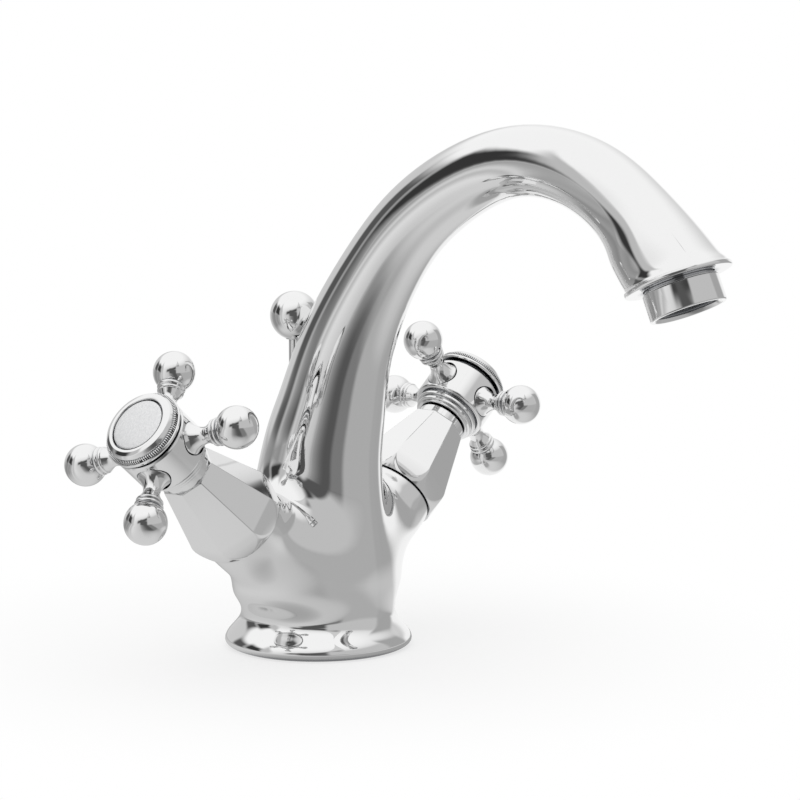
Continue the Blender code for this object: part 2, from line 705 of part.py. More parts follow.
def make_arm(label, handle, i):
    """A ball-ended arm: ball, two beads, waist, trumpet foot and the stud that screws into the hub."""
    foot = HUB_RADIUS - SPOT_FACE_DEPTH + GAP
    neck_angle = -math.degrees(math.acos(BALL_NECK_RADIUS / BALL_RADIUS))
    profile = arc(0, BALL_CIRCLE_RADIUS, BALL_RADIUS, 90, neck_angle, 6)
    profile[0] = (0, BALL_CIRCLE_RADIUS + BALL_RADIUS)
    bead_top = profile[-1][1]
    edge = BEAD_WIDTH / 2
    for radius in BEAD_RADII:
        profile += arc(radius - edge, bead_top - edge, edge, BEAD_ARC, -BEAD_ARC, 1)
        bead_top -= BEAD_WIDTH
    profile.append((TAPER_RADIUS, (bead_top + WAIST_DISTANCE) / 2))
    profile.append((WAIST_RADIUS, WAIST_DISTANCE))
    for share in FLARE_SHARES:
        grow = (FLARE_RADIUS - WAIST_RADIUS) * (1 - math.sqrt(1 - share * share))
        profile.append((WAIST_RADIUS + grow, WAIST_DISTANCE + (foot - WAIST_DISTANCE) * share))
    profile += [(STUD_RADIUS, foot), (STUD_RADIUS, foot - STUD_LENGTH), (0, foot - STUD_LENGTH)]
    arm = turned(f"{label}_handle_arm_{i + 1}", profile, "chrome", handle, steps=SMALL_STEPS)
    arm.rotation_euler = (0, math.pi / 2, math.tau * i / ARM_COUNT)


def make_index(label, handle):
    """The bezel round the hub's top, and the plain cover disc on its ledge."""
    bottom = HUB_TOP + HUB_NECK_HEIGHT
    top = bottom + INDEX_RING_HEIGHT
    lip_top = bottom + INDEX_LIP_HEIGHT
    ledge = top - INDEX_DISC_THICKNESS + GAP
    bore = INDEX_DISC_RADIUS + GAP
    ring = [
        (INDEX_RING_RADIUS - INDEX_RING_EDGE, top),
        (INDEX_RING_RADIUS, top - INDEX_RING_EDGE),
        (INDEX_RING_RADIUS, lip_top),
        (INDEX_LIP_RADIUS, lip_top),
        (INDEX_LIP_RADIUS, bottom),
        (HUB_NECK_RADIUS + GAP, bottom - INDEX_LIP_DROP),
        (HUB_NECK_RADIUS + GAP, bottom + GAP),
        (bore - INDEX_LEDGE_WIDTH, bottom + GAP),
        (bore - INDEX_LEDGE_WIDTH, ledge),
        (bore, ledge),
        (bore, top),
    ]
    turned(f"{label}_index_ring", ring, "chrome", handle, ring=True)
    disc_bottom = ledge + GAP
    disc_top = disc_bottom + INDEX_DISC_THICKNESS
    disc = [(0, disc_top), (INDEX_DISC_RADIUS - GAP, disc_top), (INDEX_DISC_RADIUS, disc_top - GAP),
            (INDEX_DISC_RADIUS, disc_bottom), (0, disc_bottom)]
    turned(f"{label}_index_disc", disc, "enamel", handle)


def make_handle_screw(label, handle):
    seat = hub_heights()[1] + HUB_WEB + GAP
    top = seat + SCREW_HEAD_HEIGHT
    profile = [(0, top), (SCREW_HEAD_RADIUS, top), (SCREW_HEAD_RADIUS, seat), (SCREW_RADIUS, seat)]
    profile += [(SCREW_RADIUS, top - SCREW_LENGTH), (0, top - SCREW_LENGTH)]
    screw = turned(f"{label}_handle_screw", profile, "steel", handle, steps=SMALL_STEPS)
    bpy.ops.mesh.primitive_cube_add(size=1)
    slot = bpy.context.active_object
    slot.name = f"{label}_screw_slot"
    slot.data.transform(Matrix.Diagonal((3 * SCREW_HEAD_RADIUS, SCREW_SLOT, 2 * SCREW_SLOT, 1)))
    bpy.context.collection.objects.unlink(slot)
    PARTS.objects.link(slot)
    slot.parent = handle
    slot.location = (0, 0, top)
    boolean(screw, as_cutter(slot))


def make_spindle(label, handle):
    """The spindle, its drive plate, and the moving disc, whose ports stand across the fixed one's."""
    drop = HANDLE_PLANE - ARM_LENGTH
    disc_bottom = -BORE_DEPTH + 3 * GAP + SEAL_THICKNESS + DISC_THICKNESS - drop
    plate_bottom = disc_bottom + DISC_THICKNESS + GAP
    plate_top = plate_bottom + SPINDLE_PLATE_THICKNESS
    top = hub_heights()[1] - GAP
    screw_end = hub_heights()[1] + HUB_WEB + GAP + SCREW_HEAD_HEIGHT - SCREW_LENGTH
    hole = SCREW_RADIUS + GAP
    profile = [
        (0, screw_end - GAP),
        (hole, screw_end - GAP),
        (hole, top),
        (SPINDLE_RADIUS, top),
        (SPINDLE_RADIUS, plate_top),
        (SPINDLE_PLATE_RADIUS, plate_top),
        (SPINDLE_PLATE_RADIUS, plate_bottom),
        (0, plate_bottom),
    ]
    turned(f"{label}_spindle", profile, "brass", handle)
    profile = rod_profile(BORE_RADIUS - CARTRIDGE_WALL - 2 * GAP, disc_bottom, plate_bottom - GAP)
    disc = turned(f"{label}_moving_disc", profile, "ceramic", handle)
    cut_disc_ports(disc, handle, "X", disc_bottom, plate_bottom)


# Aerator, in the outlet's frame


def make_aerator(outlet):
    neck_top = -AERATOR_NECK_LENGTH
    bore = AERATOR_NECK_RADIUS - AERATOR_WALL
    housing = [
        (AERATOR_RADIUS - AERATOR_EDGE, AERATOR_DROP),
        (AERATOR_RADIUS, AERATOR_DROP - AERATOR_EDGE),
        (AERATOR_RADIUS, AERATOR_SEAM),
        (AERATOR_NECK_RADIUS, AERATOR_SEAM),
        (AERATOR_NECK_RADIUS, neck_top),
        (bore, neck_top),
        (bore, AERATOR_DROP),
    ]
    turned("aerator_housing", housing, "chrome", outlet, steps=OUTLET_STEPS, ring=True)

    radius = bore - GAP
    face = AERATOR_DROP - AERATOR_RECESS
    insert = [
        (0, face),
        (radius, face),
        (radius, neck_top + GAP),
        (radius - AERATOR_WALL, neck_top + GAP),
        (radius - AERATOR_WALL, face - AERATOR_FACE_THICKNESS),
        (0, face - AERATOR_FACE_THICKNESS),
    ]
    cup = turned("aerator_insert", insert, "plastic", outlet)
    for i in range(AERATOR_HOLES):
        angle = math.tau * i / AERATOR_HOLES
        profile = rod_profile(AERATOR_HOLE_RADIUS, 0, AERATOR_DROP)
        hole = turned(f"aerator_hole_{i + 1}", profile, parent=outlet, steps=HOLE_STEPS)
        hole.location = (AERATOR_HOLE_CIRCLE * math.cos(angle), AERATOR_HOLE_CIRCLE * math.sin(angle), 0)
        boolean(cup, as_cutter(hole))

    top = neck_top - GAP
    bottom = top - AERATOR_WASHER_THICKNESS
    washer = tube_profile(AERATOR_NECK_RADIUS, AERATOR_WASHER_HOLE_RADIUS, bottom, top)
    turned("aerator_washer", washer, "rubber", outlet, ring=True)


# Lift rod, in a frame that slides upwards


def make_lift_rod(place):
    lift = add_empty("lift", place)
    knob_bottom = KNOB_HEIGHT - math.sqrt(KNOB_RADIUS**2 - KNOB_NECK_RADIUS**2)
    socket_top = knob_bottom + KNOB_SOCKET_DEPTH
    rod = rod_profile(ROD_RADIUS, ROD_BOTTOM, socket_top - GAP)
    turned("lift_rod", rod, "chrome", lift, steps=SMALL_STEPS)

    neck_angle = -math.degrees(math.acos(KNOB_NECK_RADIUS / KNOB_RADIUS))
    profile = arc(0, KNOB_HEIGHT, KNOB_RADIUS, 90, neck_angle, 8)
    profile[0] = (0, KNOB_HEIGHT + KNOB_RADIUS)
    socket = ROD_RADIUS + GAP
    profile += [(socket, knob_bottom), (socket, socket_top), (0, socket_top)]
    turned("lift_knob", profile, "chrome", lift)


def make_rod_guide(place):
    profile = tube_profile(GUIDE_RADIUS, ROD_RADIUS + RUNNING_FIT, GUIDE_TOP - GUIDE_LENGTH, GUIDE_TOP)
    guide = turned("rod_guide", profile, "plastic", steps=SMALL_STEPS, ring=True)
    guide.location = place


VALVES = (("hot", -1), ("cold", 1))
HANDLE_TURNS = {"hot": HOT_HANDLE_TURN, "cold": COLD_HANDLE_TURN}

clear_scene()
PARTS = new_collection("bathroom_mixer_faucet")
CUTTERS = new_collection("cutters")
outlet = outlet_frame()
body = smooth_body()
rod = rod_place(body)
finish_body(body, outlet, rod)
make_base_gasket()
for label, side in VALVES:
    valve = valve_frame(label, side)
    make_valve(label, valve)
    make_shroud(label, valve)
    handle = handle_frame(label, HANDLE_TURNS[label], valve)
    make_spindle(label, handle)
    make_hub(label, handle)
    for i in range(ARM_COUNT):
        make_arm(label, handle, i)
    make_handle_screw(label, handle)
    make_index(label, handle)
make_aerator(outlet)
make_lift_rod(rod)
make_rod_guide(rod)
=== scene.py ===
import json
import math

import bmesh
import bpy
from mathutils import Matrix, Vector


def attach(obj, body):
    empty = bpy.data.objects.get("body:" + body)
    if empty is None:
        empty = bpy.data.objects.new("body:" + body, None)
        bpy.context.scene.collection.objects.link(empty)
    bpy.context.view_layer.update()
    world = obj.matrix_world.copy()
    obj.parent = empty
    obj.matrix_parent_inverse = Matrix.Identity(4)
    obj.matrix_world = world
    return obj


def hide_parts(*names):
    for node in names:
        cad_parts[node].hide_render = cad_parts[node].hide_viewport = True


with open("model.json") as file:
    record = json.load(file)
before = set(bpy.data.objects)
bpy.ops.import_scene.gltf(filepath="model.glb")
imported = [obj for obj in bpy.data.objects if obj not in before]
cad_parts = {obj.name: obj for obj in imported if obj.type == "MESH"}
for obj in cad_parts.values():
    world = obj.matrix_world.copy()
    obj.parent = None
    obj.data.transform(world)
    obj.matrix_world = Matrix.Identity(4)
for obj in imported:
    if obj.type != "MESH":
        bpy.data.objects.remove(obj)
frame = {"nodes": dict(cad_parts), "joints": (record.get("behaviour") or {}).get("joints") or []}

# A basin mixer faucet: one chromed casting with a swan-neck spout, two cross handles and a lift rod.
# The spout reaches towards -Y and the hot valve is on the -X side. Sizes are in millimetres.

mm = 0.001
broadSteps, slimSteps = 96, 48  # facets round a broad turned piece, and round a slim one
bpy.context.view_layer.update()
print("frame loaded:", len(frame["nodes"]), "nodes")


def addNode(tree, kind, links=None, **settings):
    # links go by the name or number of an input, and give it another node's output or a plain value
    node = tree.nodes.new(kind)
    for key, value in settings.items():
        setattr(node, key, value)
    for socket, source in (links or {}).items():
        if isinstance(source, bpy.types.NodeSocket):
            tree.links.new(source, node.inputs[socket])
        else:
            node.inputs[socket].default_value = source
    return node


def startTree(name, kind, inputs, output):
    # a node group with named inputs and one output
    tree = bpy.data.node_groups.new(name, kind)
    for item, socket in inputs.items():
        tree.interface.new_socket(item, in_out="INPUT", socket_type="NodeSocket" + socket)
    result = "Geometry" if kind == "GeometryNodeTree" else "Float"
    tree.interface.new_socket(output, in_out="OUTPUT", socket_type="NodeSocket" + result)
    return tree, addNode(tree, "NodeGroupInput").outputs


def linearColour(text):
    values = [int(text[i:i + 2], 16) / 255 for i in (1, 3, 5)]
    return tuple(v / 12.92 if v <= 0.04045 else ((v + 0.055) / 1.055) ** 2.4 for v in values) + (1.0,)


def startMaterial(name, metallic, roughness, colour, **more):
    # more of the shader's inputs go by their names, with _ for a space
    material = bpy.data.materials.new(name)
    material.use_nodes = True
    tree = material.node_tree
    shader = tree.nodes["Principled BSDF"]
    shader.inputs["Metallic"].default_value = metallic
    shader.inputs["Roughness"].default_value = roughness
    shader.inputs["Base Color"].default_value = linearColour(colour)
    for socket, value in more.items():
        shader.inputs[socket.replace("_", " ")].default_value = value
    place = addNode(tree, "ShaderNodeTexCoord").outputs["Object"]
    return material, tree, shader, place


def newPiece(name, mesh, material):
    piece = bpy.data.objects.new(name, mesh)
    bpy.context.scene.collection.objects.link(piece)
    mesh.materials.clear()
    mesh.materials.append(material)
    return piece


def settle(piece):
    # the evaluated mesh takes the place of the piece's own, and the modifiers go
    bpy.context.view_layer.update()
    mesh = bpy.data.meshes.new_from_object(piece.evaluated_get(bpy.context.evaluated_depsgraph_get()))
    piece.modifiers.clear()
    piece.data = mesh
    return piece


def shadeMesh(mesh, sharp):
    # smooth, apart from the edges where the surface turns by more than this many degrees
    mesh.shade_smooth()
    mesh.set_sharp_from_angle(angle=math.radians(sharp))


def finishMesh(shape, name, sharp=40, outwards=True):
    if outwards:
        bmesh.ops.recalc_face_normals(shape, faces=shape.faces)
    mesh = bpy.data.meshes.new(name)
    shape.to_mesh(mesh)
    shape.free()
    shadeMesh(mesh, sharp)
    return mesh


def cutAway(piece, cutter, sharp):
    # takes the cutter's shape out of the piece, and then the cutter goes
    cut = piece.modifiers.new("cut", "BOOLEAN")
    cut.operation = "DIFFERENCE"
    cut.object = cutter
    settle(piece)
    bpy.data.objects.remove(cutter)
    shadeMesh(piece.data, sharp)


def rounded(corners, closed=False, step=10, share=0.49):
    # corners are (radius, height, fillet): a fillet becomes an arc in steps of so many degrees, and takes no more
    # than this share of the side before or after it
    points = []
    count = len(corners)
    for i, (radius, height, fillet) in enumerate(corners):
        here = Vector((radius, height))
        if fillet == 0 or (not closed and i in (0, count - 1)):
            points.append(here)
            continue
        before = Vector(corners[i - 1][:2]) - here
        after = Vector(corners[(i + 1) % count][:2]) - here
        half = before.angle(after) / 2
        reach = min(fillet / math.tan(half), before.length * share, after.length * share)
        curve = reach * math.tan(half)
        centre = here + (before.normalized() + after.normalized()).normalized() * (curve / math.sin(half))
        first = here + before.normalized() * reach - centre
        last = here + after.normalized() * reach - centre
        sweep = first.angle_signed(last)
        parts = max(2, math.ceil(math.degrees(abs(sweep)) / step))
        for k in range(parts + 1):
            points.append(centre + Matrix.Rotation(-sweep * k / parts, 2) @ first)
    return [(p.x, p.y) for p in points]


def splineProfile(knots, parts=4):
    # a smooth curve through (radius, height) knots
    points = []
    for i in range(len(knots) - 1):
        p = [Vector(knots[max(0, min(len(knots) - 1, i + k))]) for k in (-1, 0, 1, 2)]
        for k in range(parts):
            t = k / parts
            points.append(0.5 * (2 * p[1] + (p[2] - p[0]) * t + (2 * p[0] - 5 * p[1] + 4 * p[2] - p[3]) * t * t
                                 + (3 * p[1] - p[0] - 3 * p[2] + p[3]) * t ** 3))
    points.append(Vector(knots[-1]))
    return [(q.x, q.y) for q in points]


def arcProfile(radius, height, size, start, end, parts):
    # part of a circle of this size; its angles are degrees up from straight outwards
    angles = [math.radians(start + (end - start) * i / parts) for i in range(parts + 1)]
    return [(radius + size * math.cos(a), height + size * math.sin(a)) for a in angles]


def ballProfile(middle, size, neck, parts):
    # a ball, from its pole to where it meets a neck of this radius
    return [(0, middle + size)] + arcProfile(0, middle, size, 90, -math.degrees(math.acos(neck / size)), parts)[1:]


def turnedShape(profile, steps=broadSteps, closed=False, shape=None):
    # turns a profile of (radius, height) in mm about Z; a point on the axis closes it there
    shape = shape or bmesh.new()
    rings = []
    for radius, height in profile:
        if radius < 0.001:
            rings.append([shape.verts.new((0, 0, height * mm))])
            continue
        rings.append([
            shape.verts.new((radius * mm * math.cos(math.tau * k / steps), radius * mm * math.sin(math.tau * k / steps),
                             height * mm)) for k in range(steps)])
    pairs = list(zip(rings, rings[1:]))
    if closed:
        pairs.append((rings[-1], rings[0]))
    for near, far in pairs:
        for k in range(steps):
            n = (k + 1) % steps
            if len(near) == 1 and len(far) > 1:
                shape.faces.new((near[0], far[n], far[k]))
            elif len(far) == 1 and len(near) > 1:
                shape.faces.new((near[k], near[n], far[0]))
            elif len(near) > 1:
                shape.faces.new((near[k], near[n], far[n], far[k]))
    return shape


def turnedMesh(name, profile, steps=broadSteps, closed=False, place=None, sharp=40):
    mesh = finishMesh(turnedShape(profile, steps, closed), name, sharp)
    if place:
        mesh.transform(place)
    return mesh


# Bright nickel-chrome electroplate over polished brass: a hard neutral mirror, with the faint ripple that buffing
# leaves on a casting, a haze too thin to see except where a reflection ends, and painted shade: a grey base colour in
# the grooves and seams, which stands in for the little light that gets in there.
platedChrome, tree, shader, place = startMaterial("brightChromePlate", 1.0, 0.035, "#ececec")
ripple = addNode(tree, "ShaderNodeTexNoise", {"Vector": place, "Scale": 90.0, "Detail": 1.0})  # 11 mm ripple
haze = addNode(tree, "ShaderNodeTexNoise", {"Vector": place, "Scale": 450.0, "Detail": 3.0})  # 2 mm haze
soft = addNode(tree, "ShaderNodeMapRange", {"Value": haze.outputs["Fac"], "To Min": 0.02, "To Max": 0.05})
bump = addNode(tree, "ShaderNodeBump", {"Height": ripple.outputs["Fac"], "Strength": 0.05, "Distance": 0.0004})
crevice = addNode(tree, "ShaderNodeAmbientOcclusion", {"Distance": 0.002}, samples=4)  # painted shade in grooves up to 2 mm wide
unshadedShare = addNode(tree, "ShaderNodeMapRange", {"Value": crevice.outputs["AO"], "From Min": 0.25, "From Max": 0.8})
# painted shade: the base colour turns from the mirror's grey to a darker grey where ambient occlusion finds a groove or
# seam
paintedCreviceShade = addNode(tree, "ShaderNodeMix", {"Factor": unshadedShare.outputs["Result"], "A": linearColour("#8a8c90"),
                                       "B": linearColour("#ececec")}, data_type="RGBA")
tree.links.new(paintedCreviceShade.outputs["Result"], shader.inputs["Base Color"])
tree.links.new(soft.outputs["Result"], shader.inputs["Roughness"])
tree.links.new(bump.outputs["Normal"], shader.inputs["Normal"])

# Pearl enamel in the index cap: white glass with fine aluminium flake, which gives a bright satin with a sparkle.
pearlEnamel, tree, shader, place = startMaterial("pearlWhiteEnamel", 0.6, 0.36, "#f8f8f7", Coat_Weight=0.4)
speckle = addNode(tree, "ShaderNodeTexNoise", {"Vector": place, "Scale": 1500.0, "Detail": 2.0})  # 0.7 mm flakes
tint = addNode(tree, "ShaderNodeMix", {"Factor": speckle.outputs["Fac"], "A": linearColour("#dcdddf"),
                                       "B": linearColour("#ffffff")}, data_type="RGBA")
tree.links.new(tint.outputs["Result"], shader.inputs["Base Color"])

# Turned brass, left bare inside the valve: yellow metal with the lathe's fine rings.
turnedBrass, tree, shader, place = startMaterial("turnedBrass", 1.0, 0.28, "#c9a25a")
tarnish = addNode(tree, "ShaderNodeTexNoise", {"Vector": place, "Scale": 260.0, "Detail": 4.0})  # 4 mm patches
tint = addNode(tree, "ShaderNodeMix", {"Factor": tarnish.outputs["Fac"], "A": linearColour("#b98e45"),
                                       "B": linearColour("#d9b56c")}, data_type="RGBA")
rings = addNode(tree, "ShaderNodeTexNoise", {"Vector": place, "Scale": 3000.0, "Detail": 1.0})  # 0.3 mm tool marks
bump = addNode(tree, "ShaderNodeBump", {"Height": rings.outputs["Fac"], "Strength": 0.2, "Distance": 0.00005})
tree.links.new(tint.outputs["Result"], shader.inputs["Base Color"])
tree.links.new(bump.outputs["Normal"], shader.inputs["Normal"])

# Stainless screw steel: grey, a little duller than the chrome round it.
screwSteel, tree, shader, place = startMaterial("machinedStainlessSteel", 1.0, 0.22, "#b8babd")
grain = addNode(tree, "ShaderNodeTexNoise", {"Vector": place, "Scale": 2500.0, "Detail": 2.0})  # 0.4 mm tool marks
soft = addNode(tree, "ShaderNodeMapRange", {"Value": grain.outputs["Fac"], "To Min": 0.16, "To Max": 0.3})
tree.links.new(soft.outputs["Result"], shader.inputs["Roughness"])

# Sintered alumina, lapped flat: creamy white and almost glossy.
sinteredAlumina, tree, shader, place = startMaterial("lappedAluminaCeramic", 0.0, 0.3, "#ece6d8")
grain = addNode(tree, "ShaderNodeTexNoise", {"Vector": place, "Scale": 2000.0, "Detail": 3.0})  # 0.5 mm grain
tint = addNode(tree, "ShaderNodeMix", {"Factor": grain.outputs["Fac"], "A": linearColour("#e2dbca"),
                                       "B": linearColour("#f3eee3")}, data_type="RGBA")
tree.links.new(tint.outputs["Result"], shader.inputs["Base Color"])

# Moulded EPDM rubber: black with a grey bloom and no shine.
mouldedRubber, tree, shader, place = startMaterial("mouldedEpdmRubber", 0.0, 0.72, "#232325")
bloom = addNode(tree, "ShaderNodeTexNoise", {"Vector": place, "Scale": 500.0, "Detail": 5.0})  # 2 mm bloom
tint = addNode(tree, "ShaderNodeMix", {"Factor": bloom.outputs["Fac"], "A": linearColour("#1b1b1d"),
                                       "B": linearColour("#343437")}, data_type="RGBA")
tree.links.new(tint.outputs["Result"], shader.inputs["Base Color"])

# Injection-moulded acetal: a smooth grey with a faint moulded mottle.
mouldedAcetal, tree, shader, place = startMaterial("mouldedGreyAcetal", 0.0, 0.38, "#8d9094")
mottle = addNode(tree, "ShaderNodeTexNoise", {"Vector": place, "Scale": 900.0, "Detail": 3.0})  # 1 mm mottle
tint = addNode(tree, "ShaderNodeMix", {"Factor": mottle.outputs["Fac"], "A": linearColour("#808388"),
                                       "B": linearColour("#9a9da1")}, data_type="RGBA")
tree.links.new(tint.outputs["Result"], shader.inputs["Base Color"])

# A solid takes the finish of the last word here that is in its name.
finishes = {"seal": mouldedRubber, "gasket": mouldedRubber, "aerator_washer": mouldedRubber, "disc": sinteredAlumina,
            "headwork": turnedBrass, "spindle": turnedBrass, "screw": screwSteel, "headwork_washer": mouldedAcetal,
            "guide": mouldedAcetal}
for name, node in frame["nodes"].items():
    for word, material in finishes.items():
        if word in name:
            node.material_slots[0].material = material
print("finishes made:", len(bpy.data.materials))


# Body casting: a control cage of eight-sided rings, smoothed.

body = {
    "foot": [(13.2, 25.4), (9.0, 26.2), (5.0, 30.6), (1.6, 32.0), (0.0, 29.0), (0.0, 28.2)],  # height, radius
    "spout": [(2.2, 68.0, 20.0), (6.9, 81.6, 17.9), (12.3, 103.9, 15.4), (30.5, 132.3, 12.8), (46.9, 149.4, 12.6),
              (79.8, 166.8, 11.5), (110.5, 161.8, 12.2), (127.4, 148.6, 12.0)],  # reach, height, radius
    "outlet": (143.5, 129.4),  # reach and height of the outlet's middle
    "outletTilt": 22.9, "endTilt": 41.1,  # degrees from straight down: of the outlet, and of the spout behind it
    "endRings": [(15.0, 14.2, 0.5), (8.2, 14.75, 0.85), (4.6, 14.98, 1)],  # back along the spout, radius, share of tilt
    "lip": [(3.2, 15.45, 1.045), (2.2, 15.8, 1.03), (1.6, 16.3, 1.01), (1.32, 16.85, 1), (1.15, 16.95, 1),
            (0.3, 16.95, 1), (0.02, 16.7, 1), (0.0, 16.3, 1), (0.0, 11.6, 1), (0.12, 11.2, 1), (0.6, 11.2, 1),
            (8.2, 11.2, 1), (8.6, 11.2, 1)],  # above the outlet's plane, radius, stretch from front to back
    "lipBend": (12, 5),  # rings wider than this shift towards the spout's line, and are on it from this height up
    "armOrigin": 15.3, "armLength": 49.0, "armTilt": 38.8,  # height where the arms' axes meet, length, degrees up
    "crotch": (4.0, 23.6, 10.4), "armpit": (16.9, 18.3, 12.9),  # setback, off the axis, half width
    "chest": (6.9, 36.1, 20.1),  # half width, top, bottom
    "arm": [(11.6, 14.2, 0.4), (4.3, 14.7, 0.2), (1.0, 14.6, 0), (0.2, 14.6, 0), (0.0, 14.45, 0), (0.0, 14.1, 0),
            (0.0, 10.5, 0), (0.12, 10.2, 0), (0.8, 10.2, 0), (20.6, 10.2, 0),
            (21.0, 10.2, 0)],  # setback, radius, slant
    "level": 3, "sharp": 40,  # smoothing level, and degrees from which an edge is sharp
}
ringSides = 8
ringGrowth = 6 / (4 + 2 * math.cos(math.tau / ringSides))  # smoothing shrinks a ring by this factor


def cageRing(cage, middle, front, across, radius):
    angles = [math.tau * (i + 0.5) / ringSides for i in range(ringSides)]
    return [cage.verts.new((middle + radius * ringGrowth * (math.cos(a) * front + math.sin(a) * across)) * mm)
            for a in angles]


def bridgeRings(cage, near, far):
    for i in range(ringSides):
        j = (i + 1) % ringSides
        cage.faces.new((near[i], near[j], far[j], far[i]))


def armDirections(side):
    # where an arm's axis starts, the way it points, and the way across it that faces up
    tilt = math.radians(body["armTilt"])
    along = Vector((side * math.cos(tilt), 0, math.sin(tilt)))
    above = Vector((-side * math.sin(tilt), 0, math.cos(tilt)))
    return Vector((0, 0, body["armOrigin"])), along, above


def junctionRing(cage, side):
    # where an arm leaves the trunk: over the crotch to the back and under the armpit
    origin, along, above = armDirections(side)
    width, top, bottom = body["chest"]
    radius = body["foot"][0][1]
    corners = [Vector((side * width, -radius, top))]
    for (setback, off, half), sign in ((body["crotch"], 1), (body["armpit"], -1)):
        corner = origin + along * (body["armLength"] - setback) + above * off * sign
        corner.y = -half
        corners.append(corner)
    corners.append(Vector((side * width, -radius, bottom)))
    back = [Vector((p.x, -p.y, p.z)) for p in corners]
    order = (corners[0], corners[1], back[1], back[0], back[3], back[2], corners[2], corners[3])
    return [cage.verts.new(p * mm) for p in order]


def spoutRings(cage, ring):
    across = Vector((1, 0, 0))
    reach, height = body["outlet"]
    end = Vector((0, -reach, height))
    endTilt, outletTilt = math.radians(body["endTilt"]), math.radians(body["outletTilt"])
    back = Vector((0, math.sin(endTilt), math.cos(endTilt)))
    inwards = Vector((0, math.sin(outletTilt), math.cos(outletTilt)))
    middles = [Vector((0, -y, z)) for y, z, _ in body["spout"]] + [end + back * d for d, _, _ in body["endRings"]]
    radii = [r for _, _, r in body["spout"]] + [r for _, r, _ in body["endRings"]]
    shares = [0] * len(body["spout"]) + [s for _, _, s in body["endRings"]]
    for i, (middle, radius, share) in enumerate(zip(middles, radii, shares)):
        along = (middles[min(i + 1, len(middles) - 1)] - middles[max(i - 1, 0)]).normalized()
        front = across.cross(along) + along * math.tan(outletTilt - endTilt) * share
        upper = cageRing(cage, middle, front, across, radius)
        bridgeRings(cage, upper, ring)
        ring = upper
    bore, bend = body["lipBend"]
    for above, radius, stretch in body["lip"]:
        middle = end + inwards * above
        if radius > bore:
            middle += (back - inwards) * above * min(1, above / bend)
        upper = cageRing(cage, middle, inwards.cross(across) * stretch, across, radius)
        bridgeRings(cage, upper, ring)
        ring = upper


def bodyCage():
    cage = bmesh.new()
    right, left = junctionRing(cage, 1), junctionRing(cage, -1)
    cage.faces.new((left[0], right[0], right[7], left[7]))
    cage.faces.new((left[4], right[4], right[3], left[3]))
    ring = [right[7], right[6], right[5], right[4], left[4], left[5], left[6], left[7]]
    for height, radius in body["foot"]:
        lower = cageRing(cage, Vector((0, 0, height)), Vector((0, -1, 0)), Vector((1, 0, 0)), radius)
        bridgeRings(cage, ring, lower)
        ring = lower
    spoutRings(cage, right[:4] + left[3::-1])
    for side, ring in ((1, right), (-1, left)):
        origin, along, above = armDirections(side)
        for setback, radius, slant in body["arm"]:
            middle = origin + along * (body["armLength"] - setback)
            outer = cageRing(cage, middle, Vector((0, -1, 0)), above + along * slant, radius)
            bridgeRings(cage, *((ring, outer) if side > 0 else (outer, ring)))
            ring = outer
    mesh = bpy.data.meshes.new("bodyCage")
    cage.to_mesh(mesh)
    cage.free()
    return mesh


rodSetback = 9.87  # the lift rod stands this far behind the foot's middle
underside = {
    "start": -2,  # the cutters start this far below the foot
    "gasket": (27.0, 4.5, 2.0, 0.3),  # radius, width, depth, gap
    "bores": [  # x, y, and steps of radius and height
        (0, rodSetback, [(2.3, 112), (2.3, 57.3), (3.7, 57.3)]),  # lift rod, with its guide's wider bore below
        (0, -16, [(3.4, 18)]),  # fastening stud
        (-10.5, -2, [(4.6, 9)]),  # hot inlet
        (10.5, -2, [(4.6, 9)]),  # cold inlet
    ],
    "boreSteps": 32,
}


def undersideCutters():
    shape = bmesh.new()
    start = underside["start"]
    radius, width, depth, gap = underside["gasket"]
    inner, outer = radius - width - gap, radius + gap
    groove = [(outer, start), (outer, depth + gap), (inner, depth + gap), (inner, start)]
    turnedShape(groove, closed=True, shape=shape)
    for x, y, bore in underside["bores"]:
        profile = [(0, bore[0][1])] + bore + [(bore[-1][0], start), (0, start)]
        first = len(shape.verts)
        turnedShape(profile, underside["boreSteps"], shape=shape)
        shape.verts.ensure_lookup_table()
        bmesh.ops.translate(shape, verts=shape.verts[first:], vec=(x * mm, y * mm, 0))
    cutter = bpy.data.objects.new("cutter", finishMesh(shape, "cutter"))
    bpy.context.scene.collection.objects.link(cutter)
    return cutter


bodyCasting = newPiece("bodyCasting", bodyCage(), platedChrome)
smooth = bodyCasting.modifiers.new("smooth", "SUBSURF")
smooth.levels = smooth.render_levels = body["level"]
settle(bodyCasting)
shape = bmesh.new()
shape.from_mesh(bodyCasting.data)
bmesh.ops.holes_fill(shape, edges=[edge for edge in shape.edges if edge.is_boundary], sides=0)
bodyCasting.data = finishMesh(shape, "bodyCasting", body["sharp"])
bodyCasting.data.materials.append(platedChrome)
cutAway(bodyCasting, undersideCutters(), body["sharp"])
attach(bodyCasting, "body")
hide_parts("body_casting")
print("body casting:", len(bodyCasting.data.polygons), "faces")


def valvePlaces():
    # where each valve stands, from its joint
    places = {}
    for joint in frame["joints"]:
        if joint["name"].endswith("_valve"):
            outwards = Vector(joint["axis"]).normalized()
            outwards = outwards if outwards.z > 0 else -outwards
            turn = Matrix.Rotation(math.atan2(outwards.x, outwards.z), 4, "Y")
            places[joint["name"].split("_")[0]] = Matrix.Translation(Vector(joint["pos_m"])) @ turn
    return places


handlePlane = 46.5  # from the arm's end face to the plane of the balls
valves = valvePlaces()
handleTurns = {"hot": 20.2, "cold": -1.2}  # degrees that the handles stand turned at rest

